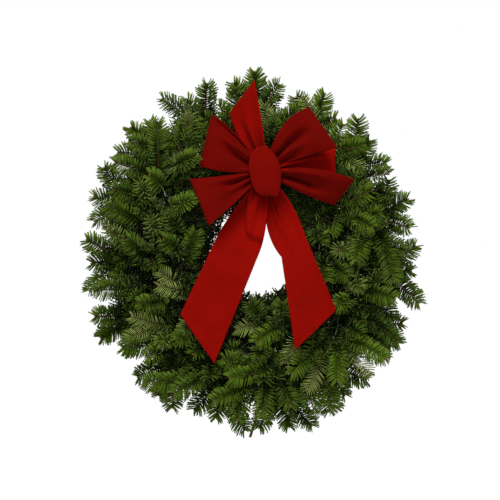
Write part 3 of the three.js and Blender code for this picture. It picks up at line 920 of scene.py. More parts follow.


# the sprays that stand out, read one by one, from the upper left round to the top
SPRAYS = (
    Spray((158, 170), (158, 124), 0.5), Spray((189, 142), (191, 114), 0.85, Lie.END_ON),
    Spray((152, 150), (131, 142), 0.42), Spray((150, 172), (117, 164), 0.46),
    Spray((163, 170), (196, 157), 0.5, Lie.OVER_BOW), Spray((165, 186), (151, 176), 0.6),
    Spray((148, 210), (142, 183), 1.0, Lie.END_ON), Spray((138, 196), (115, 190), 0.35),
    Spray((168, 211), (193, 200), 0.7, Lie.OVER_BOW), Spray((158, 243), (153, 220), 0.6, Lie.END_ON),
    Spray((142, 219), (108, 207), 0.48), Spray((128, 248), (110, 230), 0.7, Lie.END_ON),
    Spray((187, 262), (196, 233), 0.5), Spray((180, 283), (160, 272), 0.65, Lie.TURNED),
    Spray((197, 292), (160, 287), 0.7, Lie.TURNED), Spray((188, 256), (165, 240), 0.36),
    Spray((158, 306), (141, 303), 0.7), Spray((130, 286), (98, 291), 0.42),
    Spray((150, 262), (128, 240), 0.4), Spray((184, 240), (170, 218), 0.36),
    Spray((163, 328), (133, 317), 0.7, Lie.TURNED), Spray((154, 329), (128, 338), 0.62, Lie.TURNED),
    Spray((170, 331), (161, 340), 1.0, Lie.END_ON), Spray((199, 321), (184, 327), 0.75, Lie.END_ON),
    Spray((196, 330), (178, 340), 0.5), Spray((155, 347), (124, 347), 0.4),
    Spray((160, 352), (147, 356), 0.7), Spray((178, 384), (146, 381), 0.68),
    Spray((205, 378), (176, 392), 0.6), Spray((203, 346), (194, 353), 0.42),
    Spray((250, 388), (215, 399), 0.6), Spray((255, 368), (224, 358), 0.75),
    Spray((278, 368), (231, 377), 0.8), Spray((266, 322), (237, 329), 0.7, Lie.TURNED),
    Spray((282, 322), (257, 341), 0.75), Spray((262, 343), (258, 357), 0.36),
    Spray((262, 318), (250, 303), 0.34), Spray((283, 318), (282, 303), 0.46),
    Spray((268, 382), (262, 415), 0.52), Spray((240, 398), (238, 418), 0.42),
    Spray((285, 385), (290, 405), 0.42), Spray((297, 336), (286, 361), 0.45, Lie.TURNED),
    Spray((322, 340), (292, 372), 0.7), Spray((326, 358), (307, 390), 0.6, Lie.TURNED),
    Spray((308, 390), (313, 410), 0.42), Spray((338, 345), (337, 380), 0.8),
    Spray((331, 388), (334, 408), 0.5), Spray((345, 337), (384, 357), 0.85),
    Spray((352, 348), (368, 374), 0.3, Lie.TURNED), Spray((372, 318), (397, 341), 0.34),
    Spray((362, 290), (393, 298), 0.6), Spray((348, 298), (338, 305), 0.8),
    Spray((383, 228), (393, 281), 0.58), Spray((349, 276), (359, 286), 0.8, Lie.END_ON),
    Spray((326, 262), (346, 276), 0.4), Spray((316, 258), (326, 280), 0.55),
    Spray((354, 251), (337, 250), 0.62, Lie.END_ON), Spray((366, 226), (356, 260), 0.68),
    Spray((340, 211), (371, 227), 0.72), Spray((338, 210), (330, 232), 0.66),
    Spray((312, 232), (322, 244), 0.36), Spray((360, 217), (379, 214), 0.44),
    Spray((343, 206), (371, 191), 0.62), Spray((318, 200), (314, 214), 0.4, Lie.END_ON),
    Spray((303, 199), (291, 194), 0.34, Lie.END_ON), Spray((362, 176), (387, 175), 0.44),
    Spray((346, 156), (361, 169), 0.75, Lie.TURNED), Spray((338, 152), (361, 146), 0.66),
    Spray((336, 142), (343, 126), 0.8), Spray((316, 113), (303, 99), 0.55, Lie.TURNED),
    Spray((268, 130), (300, 110), 0.6), Spray((236, 106), (236, 90), 0.55),
    Spray((230, 122), (219, 106), 0.58),
)


@dataclass(frozen=True)
class Play:
    """A measure that varies evenly about its middle from one number to the next."""

    middle: float
    spread: float = 0.0
    salt: int = 0

    def at(self, number: float) -> float:
        """Return the measure for one number."""
        return self.middle + self.spread * vary(number, self.salt)


@dataclass(frozen=True)
class Twig:
    """A twig of a packed bundle: its tip's depth, radius and swing from the fan, and its share on the leader.

    In the outer row, the radius and the angle are those of one of the station's three tips instead.
    """

    depth: Play
    r: Play = Play(0.0)
    swing: Play = Play(0.0)
    share: float = 0.0
    plan_tip: int = 0


@dataclass(frozen=True)
class Habit:
    """How a row's bundles grow: the leader and its arch outwards and forwards, side twigs, forks and filling.

    A fork has a share along the leader and a length. A filling shoot has a share along the leader, and its
    tip's radius, swing from the fan and depth.
    """

    leader: Twig
    arch: tuple[float, float]
    sides: tuple[Twig, ...]
    forks: tuple[tuple[float, float], ...]
    fills: tuple[tuple[float, float, float, float], ...]


HABITS = {
    Row.OUTER: Habit(
        leader=Twig(Play(24, 6, 1), plan_tip=1),
        arch=(0.0, 12.0),
        sides=(Twig(Play(50, 7, 2), share=0.24, plan_tip=0), Twig(Play(46, 7, 3), share=0.34, plan_tip=2)),
        forks=((0.45, 50), (0.68, 38)),
        fills=(
            (0.04, 196, 26, 22), (0.04, 200, -24, 20), (0.08, 226, 17, 30), (0.08, 224, -18, 36),
            (0.15, 244, 8, 26), (0.15, 246, -8, 44), (0.2, 210, 5, 40), (0.04, 174, 10, 14),
        ),
    ),
    Row.FACE: Habit(
        leader=Twig(Play(92), Play(200, 8, 4), Play(3)),
        arch=(-6.0, 14.0),
        sides=(
            Twig(Play(76), Play(230, 7, 5), Play(-8, 2, 6), share=0.3),
            Twig(Play(98), Play(156, 7, 7), Play(12, 2, 8), share=0.42),
        ),
        forks=((0.42, 44), (0.66, 34)),
        fills=(
            (0.04, 226, 9, 56), (0.04, 220, -11, 50), (0.1, 240, -2, 58), (0.1, 190, 17, 54),
            (0.05, 158, 22, 58), (0.05, 152, -20, 52), (0.08, 120, 4, 56),
        ),
    ),
    Row.INNER: Habit(
        leader=Twig(Play(80), Play(108, 5, 9), Play(4)),
        arch=(0.0, 14.0),
        sides=(Twig(Play(38, 8, 11), Play(86, 3, 10), Play(14), share=0.3),),
        forks=((0.38, 36), (0.62, 28)),
        fills=(
            (0.04, 112, 26, 58), (0.04, 108, -24, 48), (0.08, 78, 10, 62), (0.08, 78, -8, 32),
            (0.04, 134, 28, 34), (0.04, 134, -27, 26), (0.15, 76, 1, 46), (0.1, 96, 18, 76),
            (0.1, 74, 14, 28), (0.1, 75, -4, 58), (0.12, 74, 6, 20),
        ),
    ),
}


@dataclass
class Bundle:
    """One bundle of fir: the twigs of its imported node, and the finer shoots between them."""

    row: Row
    station: int
    needle: NeedleShape
    plain_needle: NeedleShape
    needle_length: float = 19.5
    needle_slope: float = 68.0
    droop: float = 0.3
    shoots: list[Shoot] = field(default_factory=list)

    # the ways that needles leave the twig in turn, in degrees from its upper side
    ranks: ClassVar[tuple[float, ...]] = (-94, 94, -62, 62, -94, 94, -44, 44)
    ribs: ClassVar[tuple[float, ...]] = (-92, 92, -80, 80)
    brush: ClassVar[tuple[float, ...]] = (-88, 88, -60, 60, -112, 112, -72, 72)
    whorl: ClassVar[float] = 137.5

    # how the needles crowd and open towards the tip: the power that crowds them, the length of the tip, and
    # the shares of the full slope and size there
    crowding: ClassVar[float] = 0.8
    tip_zone: ClassVar[float] = 12.0
    tip_slope: ClassVar[float] = 0.56
    tuft_slope: ClassVar[float] = 0.95
    tip_size: ClassVar[float] = 0.64

    # the sizes of needles that stand up from the twig and of a turned spray's, the least levelness for which
    # a slope is worked out, and the fewest needles that a shoot is given
    upper_size: ClassVar[float] = 0.66
    turned_size: ClassVar[float] = 0.8
    least_level: ClassVar[float] = 0.45
    fewest_needles: ClassVar[int] = 4

    # the spreads of the needles' turns and slopes in degrees, and of their sizes
    turn_play: ClassVar[float] = 6.0
    slope_play: ClassVar[float] = 3.0
    size_play: ClassVar[tuple[float, float]] = (0.88, 1.06)

    # the painted light added to the rim's shoots' tone, how much of their tone the needles deep inside lose to
    # painted shade, the share of it that the inner row keeps under painted shade, and the painted light that
    # makes the tufts pale
    rim_painted_light: ClassVar[float] = 0.32
    painted_shade_share: ClassVar[float] = 0.95
    inner_painted_shade_share: ClassVar[float] = 0.35
    tuft_painted_light: ClassVar[float] = 0.45

    # a filling shoot's play in radius, swing and depth, the depth at which it turns plain, and its length
    # in leaf
    fill_play: ClassVar[tuple[Play, ...]] = (Play(0.0, 7.0, 51), Play(0.0, 3.0, 52), Play(0.0, 7.0, 53))
    plain_depth: ClassVar[float] = 42.0
    leafy_length: ClassVar[float] = 130.0

    @property
    def node(self) -> str:
        """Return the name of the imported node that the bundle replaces."""
        return f"fir_{self.row.name.lower()}_{self.station + 1:02d}"

    @property
    def row_number(self) -> int:
        """Return the row's place in the list of rows."""
        return list(Row).index(self.row)

    @property
    def seed(self) -> int:
        """Return a number of the bundle's own."""
        return 1000 * self.row_number + 17 * self.station

    @property
    def fan(self) -> float:
        """Return the angle on the ring where the bundle's twigs turn away from it."""
        return PLAN.fan(self.row, self.station)

    def tip(self, twig: Twig) -> Vector:
        """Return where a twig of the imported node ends."""
        depth = twig.depth.at(self.station)
        if self.row is Row.OUTER:
            degrees, reach = PLAN.outer_tips[self.station][twig.plan_tip]
            return PLAN.placed(reach - PLAN.tip_needles, degrees, depth)
        return PLAN.placed(twig.r.at(self.station), self.fan + twig.swing.at(self.station), depth)

    def leader(self, tip: Vector, out: float, forward: float) -> Shoot:
        """Lay the bundle's leading twig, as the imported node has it.

        Args:
            tip: Where it ends.
            out: How far it arches away from the middle of the wreath.
            forward: How far it arches to the front.

        Returns:
            The twig.
        """
        root = PLAN.butt(self.row, self.fan)
        side = math.radians(self.row.value)
        facing = polar(1.0, self.fan, 0.0) * math.sin(side) + Vector((0.0, -math.cos(side), 0.0))
        swing = math.degrees(PLAN.butt_length / PLAN.ring_r)
        stem = tuple(PLAN.butt(self.row, self.fan - share * swing) for share in (1.0, 0.5))
        outward = Vector((tip.x, 0.0, tip.z)).normalized()
        points = (
            root,
            root + polar(11.0, self.fan + 90.0, 0.0) + facing * 9.0,
            tip - (tip - root) * 0.4 + outward * out + Vector((0.0, -forward, 0.0)),
            tip,
        )
        return Shoot(points, self.face_of(root, tip), bare=8.0, radius=2.2, stem=stem)

    def side_shoot(self, parent: Shoot, share: float, tip: Vector) -> Shoot:
        """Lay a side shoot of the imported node.

        Args:
            parent: The twig that it branches from.
            share: Where on the parent's length.
            tip: Where it ends.

        Returns:
            The shoot.
        """
        root, along = parent.point_at(share)
        reach = (tip - root).length
        points = (
            root,
            (root + along * (0.25 * reach)).lerp(tip, 0.08),
            root.lerp(tip, 0.6) + along * (0.12 * reach),
            tip,
        )
        return Shoot(points, self.face_of(root, tip), bare=8.0, radius=1.7)

    def laid(self, parent: Shoot, share: float, tip: Vector) -> Shoot:
        """Lay a shoot that rises to the front first and then lies flat over the others.

        Args:
            parent: The twig that it branches from.
            share: Where on the parent's length.
            tip: Where it ends.

        Returns:
            The shoot.
        """
        root, along = parent.point_at(share)
        flat = Vector((tip.x - root.x, 0.0, tip.z - root.z))
        rise = Vector((0.0, 0.8 * (tip.y - root.y), 0.0))
        over = Vector((0.0, -7.0, 0.0))
        points = (root, root + along * 8.0 + flat * 0.08 + rise, tip - flat * 0.5 + over, tip)
        return Shoot(points, self.face_of(root + rise, tip), bare=8.0, radius=1.5)

    def standing_out(self, lead: Shoot, spray: Spray) -> Shoot:
        """Lay one of the sprays that stand out on the face.

        Args:
            lead: The bundle's leading twig, which it branches from.
            spray: Where it comes out and ends, and how it lies.

        Returns:
            The shoot.
        """
        first, last, pitch, radius = spray.lie.value
        root, tip = PLAN.at_pixel(spray.start, first), PLAN.at_pixel(spray.end, last)
        over = spray.lie is Lie.OVER_BOW
        turned = spray.lie is Lie.TURNED
        if over:
            bend = root.lerp(tip, 0.3)
            bend.y = min(bend.y, tip.y)
        else:
            root, tip = PLAN.held(root), PLAN.held(tip)
            bend = root
        up = self.face_of(root, tip)
        start, _ = lead.point_at(0.25)
        shoot = Shoot(
            (start, start.lerp(root, 0.8), bend, tip),
            -up if turned else up,
            radius=radius,
            tone=spray.tone,
            pitch=pitch,
            bud=True,
            free=over,
            around=spray.lie is Lie.END_ON,
            turned=turned,
        )
        shoot.bare = max(shoot.bare, shoot.length - 1.1 * (tip - root).length - 4.0)
        return shoot

    def face_of(self, root: Vector, tip: Vector) -> Vector:
        """Return the way that the upper side of a spray turns: to the front, and a little outwards."""
        along = (tip - root).normalized()
        outward = Vector((tip.x, 0.0, tip.z)).normalized()
        up = Vector((0.0, -1.0, 0.0)) + outward * 0.3 + Vector((0.0, 0.0, 0.25))
        up += along.cross(up) * (0.45 * vary(self.station, 20 + tip.length))
        return (up - along * up.dot(along)).normalized()

    def branch(self, parent: Shoot, share: float, hand: int, reach: float, number: int) -> Shoot:
        """Lay a finer shoot in its parent's plane.

        Args:
            parent: The twig that it branches from.
            share: Where on the parent's length.
            hand: 1 or -1, the side that it leaves from.
            reach: How long it is.
            number: Chooses its lean.

        Returns:
            The shoot.
        """
        root, along = parent.point_at(share)
        up = (parent.up - along * parent.up.dot(along)).normalized()
        side = along.cross(up) * hand
        lean = math.radians(Play(42.0, 7.0, 31).at(number))
        rise = Play(0.1, 0.12, 32).at(number)
        away = (along * math.cos(lean) + side * math.sin(lean) + up * rise).normalized()
        tip = PLAN.kept(root + away * reach + along * (0.2 * reach))
        points = (root, root + away * (0.35 * reach), root.lerp(tip, 0.68) + away * (0.05 * reach), tip)
        return Shoot(points, parent.up, bare=2.0, radius=1.0, tone=parent.tone, pitch=1.15)

    def packed_twigs(self, habit: Habit) -> list[Shoot]:
        """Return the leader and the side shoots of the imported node."""
        lead = self.leader(self.tip(habit.leader), *habit.arch)
        twigs = [lead, *(self.side_shoot(lead, twig.share, self.tip(twig)) for twig in habit.sides)]
        outer = self.row is Row.OUTER
        for k, shoot in enumerate(twigs):
            # the rim's shoots get painted light added to their tone
            shoot.tone = self.tone_of(100 * self.station + k) + (self.rim_painted_light if outer else 0.0)
            shoot.pitch = 0.58 if outer else 0.66
            shoot.bud = outer
        return twigs

    def forks(self, lead: Shoot, habit: Habit) -> Iterable[Shoot]:
        """Return the pairs of shoots that fork from the leader."""
        for k, (share, reach) in enumerate(habit.forks):
            for hand in (1, -1):
                number = 40 * self.station + 2 * k + (hand > 0) + 7 * self.row_number
                size = reach * Play(1.0, 0.15, 35).at(number)
                yield self.branch(lead, share + 0.03 * hand, hand, size, number)

    def fillers(self, lead: Shoot, habit: Habit) -> Iterable[Shoot]:
        """Return the shoots that fill the bundle. The deep ones, which hardly show, are plainer."""
        for k, (share, *middles) in enumerate(habit.fills):
            number = 60 * self.station + 5 * k + self.row_number
            r, swing, depth = (middle + play.at(number) for middle, play in zip(middles, self.fill_play))
            filler = self.laid(lead, share, PLAN.kept(PLAN.placed(r, self.fan + swing, depth)))
            filler.bare = max(6.0, filler.length - self.leafy_length)
            filler.plain = middles[-1] < self.plain_depth
            filler.pitch = 1.5 if filler.plain else 1.1
            filler.tone = self.tone_of(number)
            if vary(number, 54) > 0.78:
                filler.up = -filler.up
            yield filler

    def offshoots(self, parents: Sequence[Shoot]) -> Iterable[Shoot]:
        """Return the pairs of shoots that branch from the longer of some shoots."""
        for s, parent in enumerate(parents):
            for k, share in enumerate((0.5, 0.55)):
                number = 40 * self.station + 20 + 4 * s + k
                if parent.length > 60.0 and not parent.plain and vary(number, 37) > -0.1:
                    size = Play(0.36, 0.06, 36).at(number) * parent.length
                    yield self.branch(parent, share, 2 * k - 1, size, number)

    def cut_stem(self, lead: Shoot) -> Shoot:
        """Return the bare cut stem, which ends at the bottom edge and is thickest there."""
        root, _ = lead.point_at(0.2)
        end = PLAN.at_pixel(PLAN.cut_stem, 30.0)
        line = (root, root.lerp(end, 0.4), root.lerp(end, 0.7), end)
        return Shoot(line, lead.up, bare=math.inf, radius=2.0, end_radius=2.5)

    def grow(self) -> None:
        """Make the bundle's shoots."""
        habit = HABITS[self.row]
        lead, *sides = self.packed_twigs(habit)
        sides += self.fillers(lead, habit)
        packed = len(habit.sides)
        self.shoots = [lead, *sides[:packed], *self.forks(lead, habit), *sides[packed:]]
        stem_end = PLAN.at_pixel(PLAN.cut_stem, 0.0)
        if self.row is Row.OUTER and self.station == PLAN.station_at(self.row, stem_end):
            self.shoots.append(self.cut_stem(lead))
        if self.row is Row.FACE:
            here = (spray for spray in SPRAYS if spray.station == self.station)
            self.shoots += [self.standing_out(lead, spray) for spray in here]
        self.shoots += self.offshoots(sides)

    def tone_of(self, number: int) -> float:
        """Return how young a shoot looks, from 0 to 1: most are deep green and a few are bright, and the inner
        row's tone is cut by painted shade.
        """
        tone = 0.2 + 0.22 * abs(vary(number, 61)) + (0.2 if vary(number, 62) > 0.8 else 0.0)
        return tone * (self.inner_painted_shade_share if self.row is Row.INNER else 1.0)

    def turns(self, shoot: Shoot, count: int) -> np.ndarray:
        """Return the needles' turns round a shoot, in degrees from its upper side."""
        if shoot.around:
            return np.arange(count) * self.whorl
        if self.row is Row.OUTER and not shoot.plain:
            return np.resize(self.brush, count)
        return np.resize(self.ribs if shoot.turned else self.ranks, count)

    def needles_on(self, shoot: Shoot, number: int, count: int) -> tuple[np.ndarray, NeedleWays]:
        """Lay out the needles of one shoot, and leave off those that would leave the wreath's shape.

        Args:
            shoot: The shoot.
            number: Its number in the bundle, which chooses the random draws.
            count: How many needles it has.

        Returns:
            The needles' feet, and how they lie.
        """
        chance = np.random.default_rng(self.seed + 7 * number + 3)
        rows, reach = shoot.samples()
        length = reach[-1]
        s = shoot.bare + (length - shoot.bare) * ((np.arange(count) + 0.5) / count) ** self.crowding
        feet, before, after = (along_line(rows, reach, s + step) for step in (0.0, -2.0, 2.0))
        along = unit_rows(after - before)
        up = np.array(shoot.up)[None, :]
        up = unit_rows(up - along * (along * up).sum(axis=1, keepdims=True))
        turn = np.radians(self.turns(shoot, count) + chance.normal(0.0, self.turn_play, count))
        level = np.ones(count) if shoot.around else np.abs(np.sin(turn))
        to_tip = np.clip((length - s) / self.tip_zone, 0.0, 1.0)
        open_tip = mix(self.tuft_slope if shoot.around else self.tip_slope, 1.0, to_tip)
        seen = np.radians(self.needle_slope * open_tip + chance.normal(0.0, self.slope_play, count))
        slope = np.arctan2(np.tan(seen), np.maximum(level, self.least_level))
        out = up * np.cos(turn)[:, None] + np.cross(along, up) * np.sin(turn)[:, None]
        out = unit_rows(along * np.cos(slope)[:, None] + out * np.sin(slope)[:, None])
        if shoot.around:
            out = unit_rows(out - np.array([[0.0, 0.0, self.droop]]))
        size = self.needle_length * mix(self.upper_size, 1.0, level) * mix(self.tip_size, 1.0, to_tip)
        size *= chance.uniform(*self.size_play, count) * (self.turned_size if shoot.turned else 1.0)
        tips = feet + out * size[:, None]
        ways = NeedleWays(
            out,
            along if shoot.around else up + 0.2 * along,
            along,
            size,
            np.ones(count) if shoot.around else s / length,
            # the tone is darkened by painted shade deep inside, and the tufts are made pale by painted light
            shoot.tone * (1.0 - self.painted_shade_share * PLAN.buried(tips)),
            self.tuft_painted_light if shoot.around else 0.0,
        )
        fits = PLAN.admits(tips, shoot.free)
        return feet[fits], ways.chosen(fits)

    def needles(self, stock: MeshStock) -> int:
        """Set the needles on every shoot, and return how many there are."""
        made = 0
        for number, shoot in enumerate(self.shoots):
            count = int(max(0.0, shoot.length - shoot.bare) / shoot.pitch)
            if count < self.fewest_needles:
                continue
            feet, ways = self.needles_on(shoot, number, count)
            shape = self.plain_needle if shoot.plain else self.needle
            shape.scatter(stock, feet, ways, self.seed + number)
            made += len(feet)
        return made

    def twigs(self) -> bpy.types.Mesh:
        """Return the woody twigs as one mesh of tapered tubes."""
        lines, radii = [], []
        for shoot in self.shoots:
            rows, _ = shoot.samples(6)
            line = [PLAN.world(Vector(point)) for point in (*shoot.stem, *rows)]
            lines.append(line)
            shares = np.linspace(0.0, 1.0, len(line))
            radii.append([mix(shoot.radius, shoot.end_radius, share) * MM for share in shares])
        return tube_mesh(self.node + "_twigs", lines, radii, 0)

    def buds(self) -> bpy.types.Mesh:
        """Return the buds at the shoots' ends as one mesh: a large one at each end, and two beside it."""
        bm = bmesh.new()
        for number, shoot in enumerate(self.shoots):
            if not shoot.bud:
                continue
            end, along = shoot.point_at(1.0)
            side = along.orthogonal().normalized()
            for k, (aside, share) in enumerate(((0.0, 1.15), (0.8, 0.8), (0.8, 0.8))):
                turn = Matrix.Rotation(math.radians(120.0 * k + 50.0 * number), 3, along)
                lean = (along + (turn @ side) * aside).normalized()
                size = share * Play(1.0, 0.15, 41).at(number + k)
                at = PLAN.world(end + lean * (1.5 * size))
                pose = (
                    Matrix.Translation(at)
                    @ lean.to_track_quat("Z", "X").to_matrix().to_4x4()
                    @ Matrix.Diagonal((size * MM, size * MM, 2.1 * size * MM, 1.0))
                )
                bmesh.ops.create_icosphere(bm, subdivisions=1, radius=1.0, matrix=pose)
        return mesh_from(bm, self.node + "_buds")

    def build(self) -> int:
        """Make the bundle's piece in place of its node, and return its number of needles."""
        self.grow()
        stock = MeshStock((NEEDLES, BARK, BUDS))
        made = self.needles(stock)
        stock.take_mesh(self.twigs(), BARK)
        stock.take_mesh(self.buds(), BUDS)
        add_piece(self.node + "_spray", stock.mesh(self.node), self.node, Slot.FIR)
        return made


@dataclass
class Greenery:
    """All the bundles round the ring, with the needle that shows and a plainer one for the hidden shoots."""

    needle: NeedleShape = field(default_factory=NeedleShape)
    plain_needle: NeedleShape = field(
        default_factory=lambda: NeedleShape(width=2.6, profile=((0.0, 0.6), (1.0, 0.85)))
    )

    def build(self) -> None:
        """Make every bundle."""
        total = 0
        for row in Row:
            for station in range(PLAN.stations):
                total += Bundle(row, station, self.needle, self.plain_needle).build()
        log.info("greenery: %d bundles, %d needles", len(Row) * PLAN.stations, total)


# The bow


@dataclass(frozen=True)
class Crease:
    """A ridge or valley in a ribbon: where across it lies at its two ends, and how high it is."""

    start: float
    end: float
    height: float
    width: float = 0.22
    begins: float = 0.0
    fades: float = 0.6
    fades_from: float = 0.5

    # the share of the ribbon's length over which it rises, and its spread at the knot and what that gains
    rising: ClassVar[float] = 0.12
    spread: ClassVar[tuple[float, float]] = (0.55, 0.9)

    def depth(self, along: float, across: float) -> float:
        """Return how far the crease lifts a point of the ribbon.

        Args:
            along: From 0 at the knot to 1 at the far end.
            across: From -1 to 1 across the ribbon.

        Returns:
            Millimetres towards the front.
        """
        rise = smoothstep(along, self.begins, self.begins + self.rising)
        rise *= 1.0 - smoothstep(along, self.fades_from * self.fades, self.fades)
        return self.height * rise * self.profile(along, across - mix(self.start, self.end, along))

    def profile(self, along: float, off: float) -> float:
        """Return the crease's height, from 0 to 1, at a distance across the ribbon from its middle."""
        at_knot, gain = self.spread
        share = off / (self.width * (at_knot + gain * along))
        return math.exp(-share * share)


@dataclass(frozen=True)
class Flap(Crease):
    """A part of the ribbon, on one side of a line along it, that is folded over and lies higher."""

    def profile(self, along: float, off: float) -> float:
        """Return 0 before the line and 1 past it."""
        return smoothstep(off, -self.width, self.width)


@dataclass
class RibbonPiece:
    """A length of ribbon bent out of a flat strip."""

    name: str
    finish: VelvetFinish = VELVET
    thick: float = 1.1
    width: float = 78.0

    # faces along and across the strip, whether its ends meet, and how near they come then
    columns: ClassVar[int] = 72
    rows: ClassVar[int] = 36
    closed: ClassVar[bool] = False
    meeting: ClassVar[float] = 0.02

    # the shares across the strip at which its length is measured
    measured: ClassVar[tuple[float, ...]] = (0.1, 0.3, 0.5, 0.7, 0.9)

    def place(self, along: float, across: float) -> Vector:
        """Return a point of the bent strip in metres, at a share along it and a share across it."""
        raise NotImplementedError

    def flat_length(self) -> float:
        """Return the strip's flat length in metres."""
        lines = [[self.place(k / self.columns, w) for k in range(self.columns + 1)] for w in self.measured]
        return sum((b - a).length for line in lines for a, b in zip(line, line[1:])) / len(lines)

    def strip(self) -> tuple[bpy.types.Object, float]:
        """Bend a flat strip into place, and give it its thickness and finish.

        Returns:
            The piece, and the strip's flat length in metres.
        """
        length, width = self.flat_length(), self.width * MM
        bm = bmesh.new()
        bmesh.ops.create_grid(bm, x_segments=self.columns, y_segments=self.rows, size=0.5)
        uv = bm.loops.layers.uv.new("UVMap")
        for face in bm.faces:
            for loop in face.loops:
                loop[uv].uv = ((loop.vert.co.x + 0.5) * length, (loop.vert.co.y + 0.5) * width)
        for vert in bm.verts:
            vert.co = self.place(vert.co.x + 0.5, vert.co.y + 0.5)
        if self.closed:
            bmesh.ops.remove_doubles(bm, verts=bm.verts, dist=self.meeting * MM)
        bmesh.ops.recalc_face_normals(bm, faces=bm.faces)
        for face in bm.faces:
            face.smooth = True
        share = sum(face.calc_area() for face in bm.faces) / (length * width)
        log.info("%s: %.0f mm of ribbon, %.2f of its flat area", self.name, length / MM, share)
        mesh = mesh_from(bm, self.name)
        mesh.materials.append(self.finish.material())
        piece = add_piece(self.name + "_velvet", mesh, self.name, Slot.VELVET)
        wall = piece.modifiers.new("thickness", "SOLIDIFY")
        wall.thickness = self.thick * MM
        wall.offset = 0.0
        wall.use_rim = True
        return piece, length

    def build(self) -> None:
        """Make the piece, a folded ribbon."""
        piece, length = self.strip()


@dataclass
class GatheredRibbon(RibbonPiece):
    """A length of ribbon between two edges, gathered in pleats where it is narrower than the flat strip.

    Its edges leave the knot's neck at the two angles of the gather. The pleats have a ridge at a place
    across each end, a pitch, and a greatest depth at the knot, which fades to nothing at the far end.
    """

    neck_r: float = 7.6
    gather: tuple[float, float] = (0.0, 0.0)
    ridge: tuple[float, float] = (0.0, 0.0)
    pitch: float = 1.0
    deepest: float = 7.0
    fade: float = 1.2
    creases: tuple[Crease, ...] = ()
    pleat_depths: list[float] = field(default_factory=list)

    # in how many places the pleats' depth is sought, how often the search halves, and the steps across
    places: ClassVar[int] = 24
    halvings: ClassVar[int] = 10
    steps: ClassVar[int] = 40

    def edges(self, x: float) -> tuple[tuple[float, float], tuple[float, float]]:
        """Return the ribbon's two edges at a share x of the way out from the knot."""
        raise NotImplementedError

    def depth(self, x: float, v: float, side: float, pleat: float) -> float:
        """Return how far forward the ribbon lies, with pleats of some depth."""
        raise NotImplementedError

    def wave(self, x: float, v: float) -> float:
        """Return the pleats' form across the ribbon, from -1.4 to 0.6."""
        return math.cos(2.0 * math.pi * (v - mix(*self.ridge, x)) / self.pitch) - 0.4

    def cross_length(self, x: float, pleat: float) -> float:
        """Return the length across the ribbon's front at x, with pleats of some depth."""
        step = math.dist(*self.edges(x)) / self.steps
        depths = [self.depth(x, 2.0 * k / self.steps - 1.0, 1.0, pleat) for k in range(self.steps + 1)]
        return sum(math.hypot(step, b - a) for a, b in zip(depths, depths[1:]))

    def gather_up(self) -> None:
        """Find how deep the pleats must be at each place for the ribbon to keep its full width."""
        self.pleat_depths = []
        for k in range(self.places + 1):
            x = k / self.places
            low, high = 0.0, self.deepest * (1.0 - x) ** self.fade
            if self.cross_length(x, high) > self.width:
                for _ in range(self.halvings):
                    middle = (low + high) / 2.0
                    low, high = (low, middle) if self.cross_length(x, middle) > self.width else (middle, high)
            self.pleat_depths.append(high)

    def pleat_at(self, x: float) -> float:
        """Return how deep the pleats are at x."""
        return float(np.interp(x, np.linspace(0.0, 1.0, len(self.pleat_depths)), self.pleat_depths))

    def neck(self, degrees: float) -> tuple[float, float]:
        """Return a point on the circle that the ribbon is gathered round."""
        angle = math.radians(degrees)
        return self.neck_r * math.cos(angle), self.neck_r * math.sin(angle)

    @staticmethod
    def bezier(a: Sequence[float], b: Sequence[float], c: Sequence[float], t: float) -> tuple[float, float]:
        """Return a point on a curve with one control point."""
        return tuple(mix(mix(p, q, t), mix(q, r, t), t) for p, q, r in zip(a, b, c))

    def between(self, x: float, across: float, side: float) -> Vector:
        """Find a point between the ribbon's edges.

        Args:
            x: The share of the way out from the knot.
            across: The share of the way from the first edge to the second.
            side: 1 for the front layer and -1 for the back one.

        Returns:
            The point, in metres.
        """
        (x_0, z_0), (x_1, z_1) = self.edges(x)
        depth = self.depth(x, 2.0 * across - 1.0, side, self.pleat_at(x))
        return PLAN.world(PLAN.in_bow(mix(x_0, x_1, across), mix(z_0, z_1, across), depth))

    def strip(self) -> tuple[bpy.types.Object, float]:
        """Gather the ribbon up and bend it into place, and return the piece and its flat length."""
        self.gather_up()
        return super().strip()


@dataclass
class BowLoop(GatheredRibbon):
    """One loop of the bow: out from the knot, round its fold and back.

    Its two edges bend over the bulge's points to the corners of the fold. The puff parts its layers, and
    the lift and the twist bring the fold to the front.
    """

    corners: tuple[tuple[float, float], ...] = ()
    bulge: tuple[tuple[float, float], ...] = ()
    puff: float = 20.0
    lift: float = 12.0
    twist: float = 0.0

    # half the room between the layers at the knot, and how much nearer they are at the edges
    pinched: ClassVar[float] = 0.65
    edge_pinch: ClassVar[float] = 0.3

    def edges(self, x: float) -> tuple[tuple[float, float], tuple[float, float]]:
        """Return the ribbon's two edges at a share x of the way out to the fold."""
        lines = zip(self.gather, self.bulge, self.corners)
        return tuple(self.bezier(self.neck(at), bulge, corner, x) for at, bulge, corner in lines)

    def depth(self, x: float, v: float, side: float, pleat: float) -> float:
        """Return how far forward the ribbon lies.

        Args:
            x: The share of the way from the knot to the fold.
            v: From -1 to 1 across the ribbon.
            side: 1 for the front layer and -1 for the back one.
            pleat: How deep the pleats are there.

        Returns:
            Millimetres in front of the bow's middle.
        """
        swell = math.sin(math.acos(max(-1.0, 1.0 - 2.0 * x)))
        half = self.pinched * math.sqrt(max(0.0, 1.0 - x)) + self.puff * swell * x**0.75
        deep = side * half * (1.0 - self.edge_pinch * v * v) + pleat * self.wave(x, v)
        deep += self.lift * x * x + self.twist * v * x * x
        if side > 0.0:
            deep += sum(crease.depth(x, v) for crease in self.creases)
        return deep

    def place(self, along: float, across: float) -> Vector:
        """Return a place on the loop: along runs out on the front layer and back behind."""
        s = 2.0 * along - 1.0
        x = (1.0 - math.cos(math.pi * (1.0 - abs(s)))) / 2.0
        return self.between(x, across, 1.0 if s < 0.0 else -1.0)


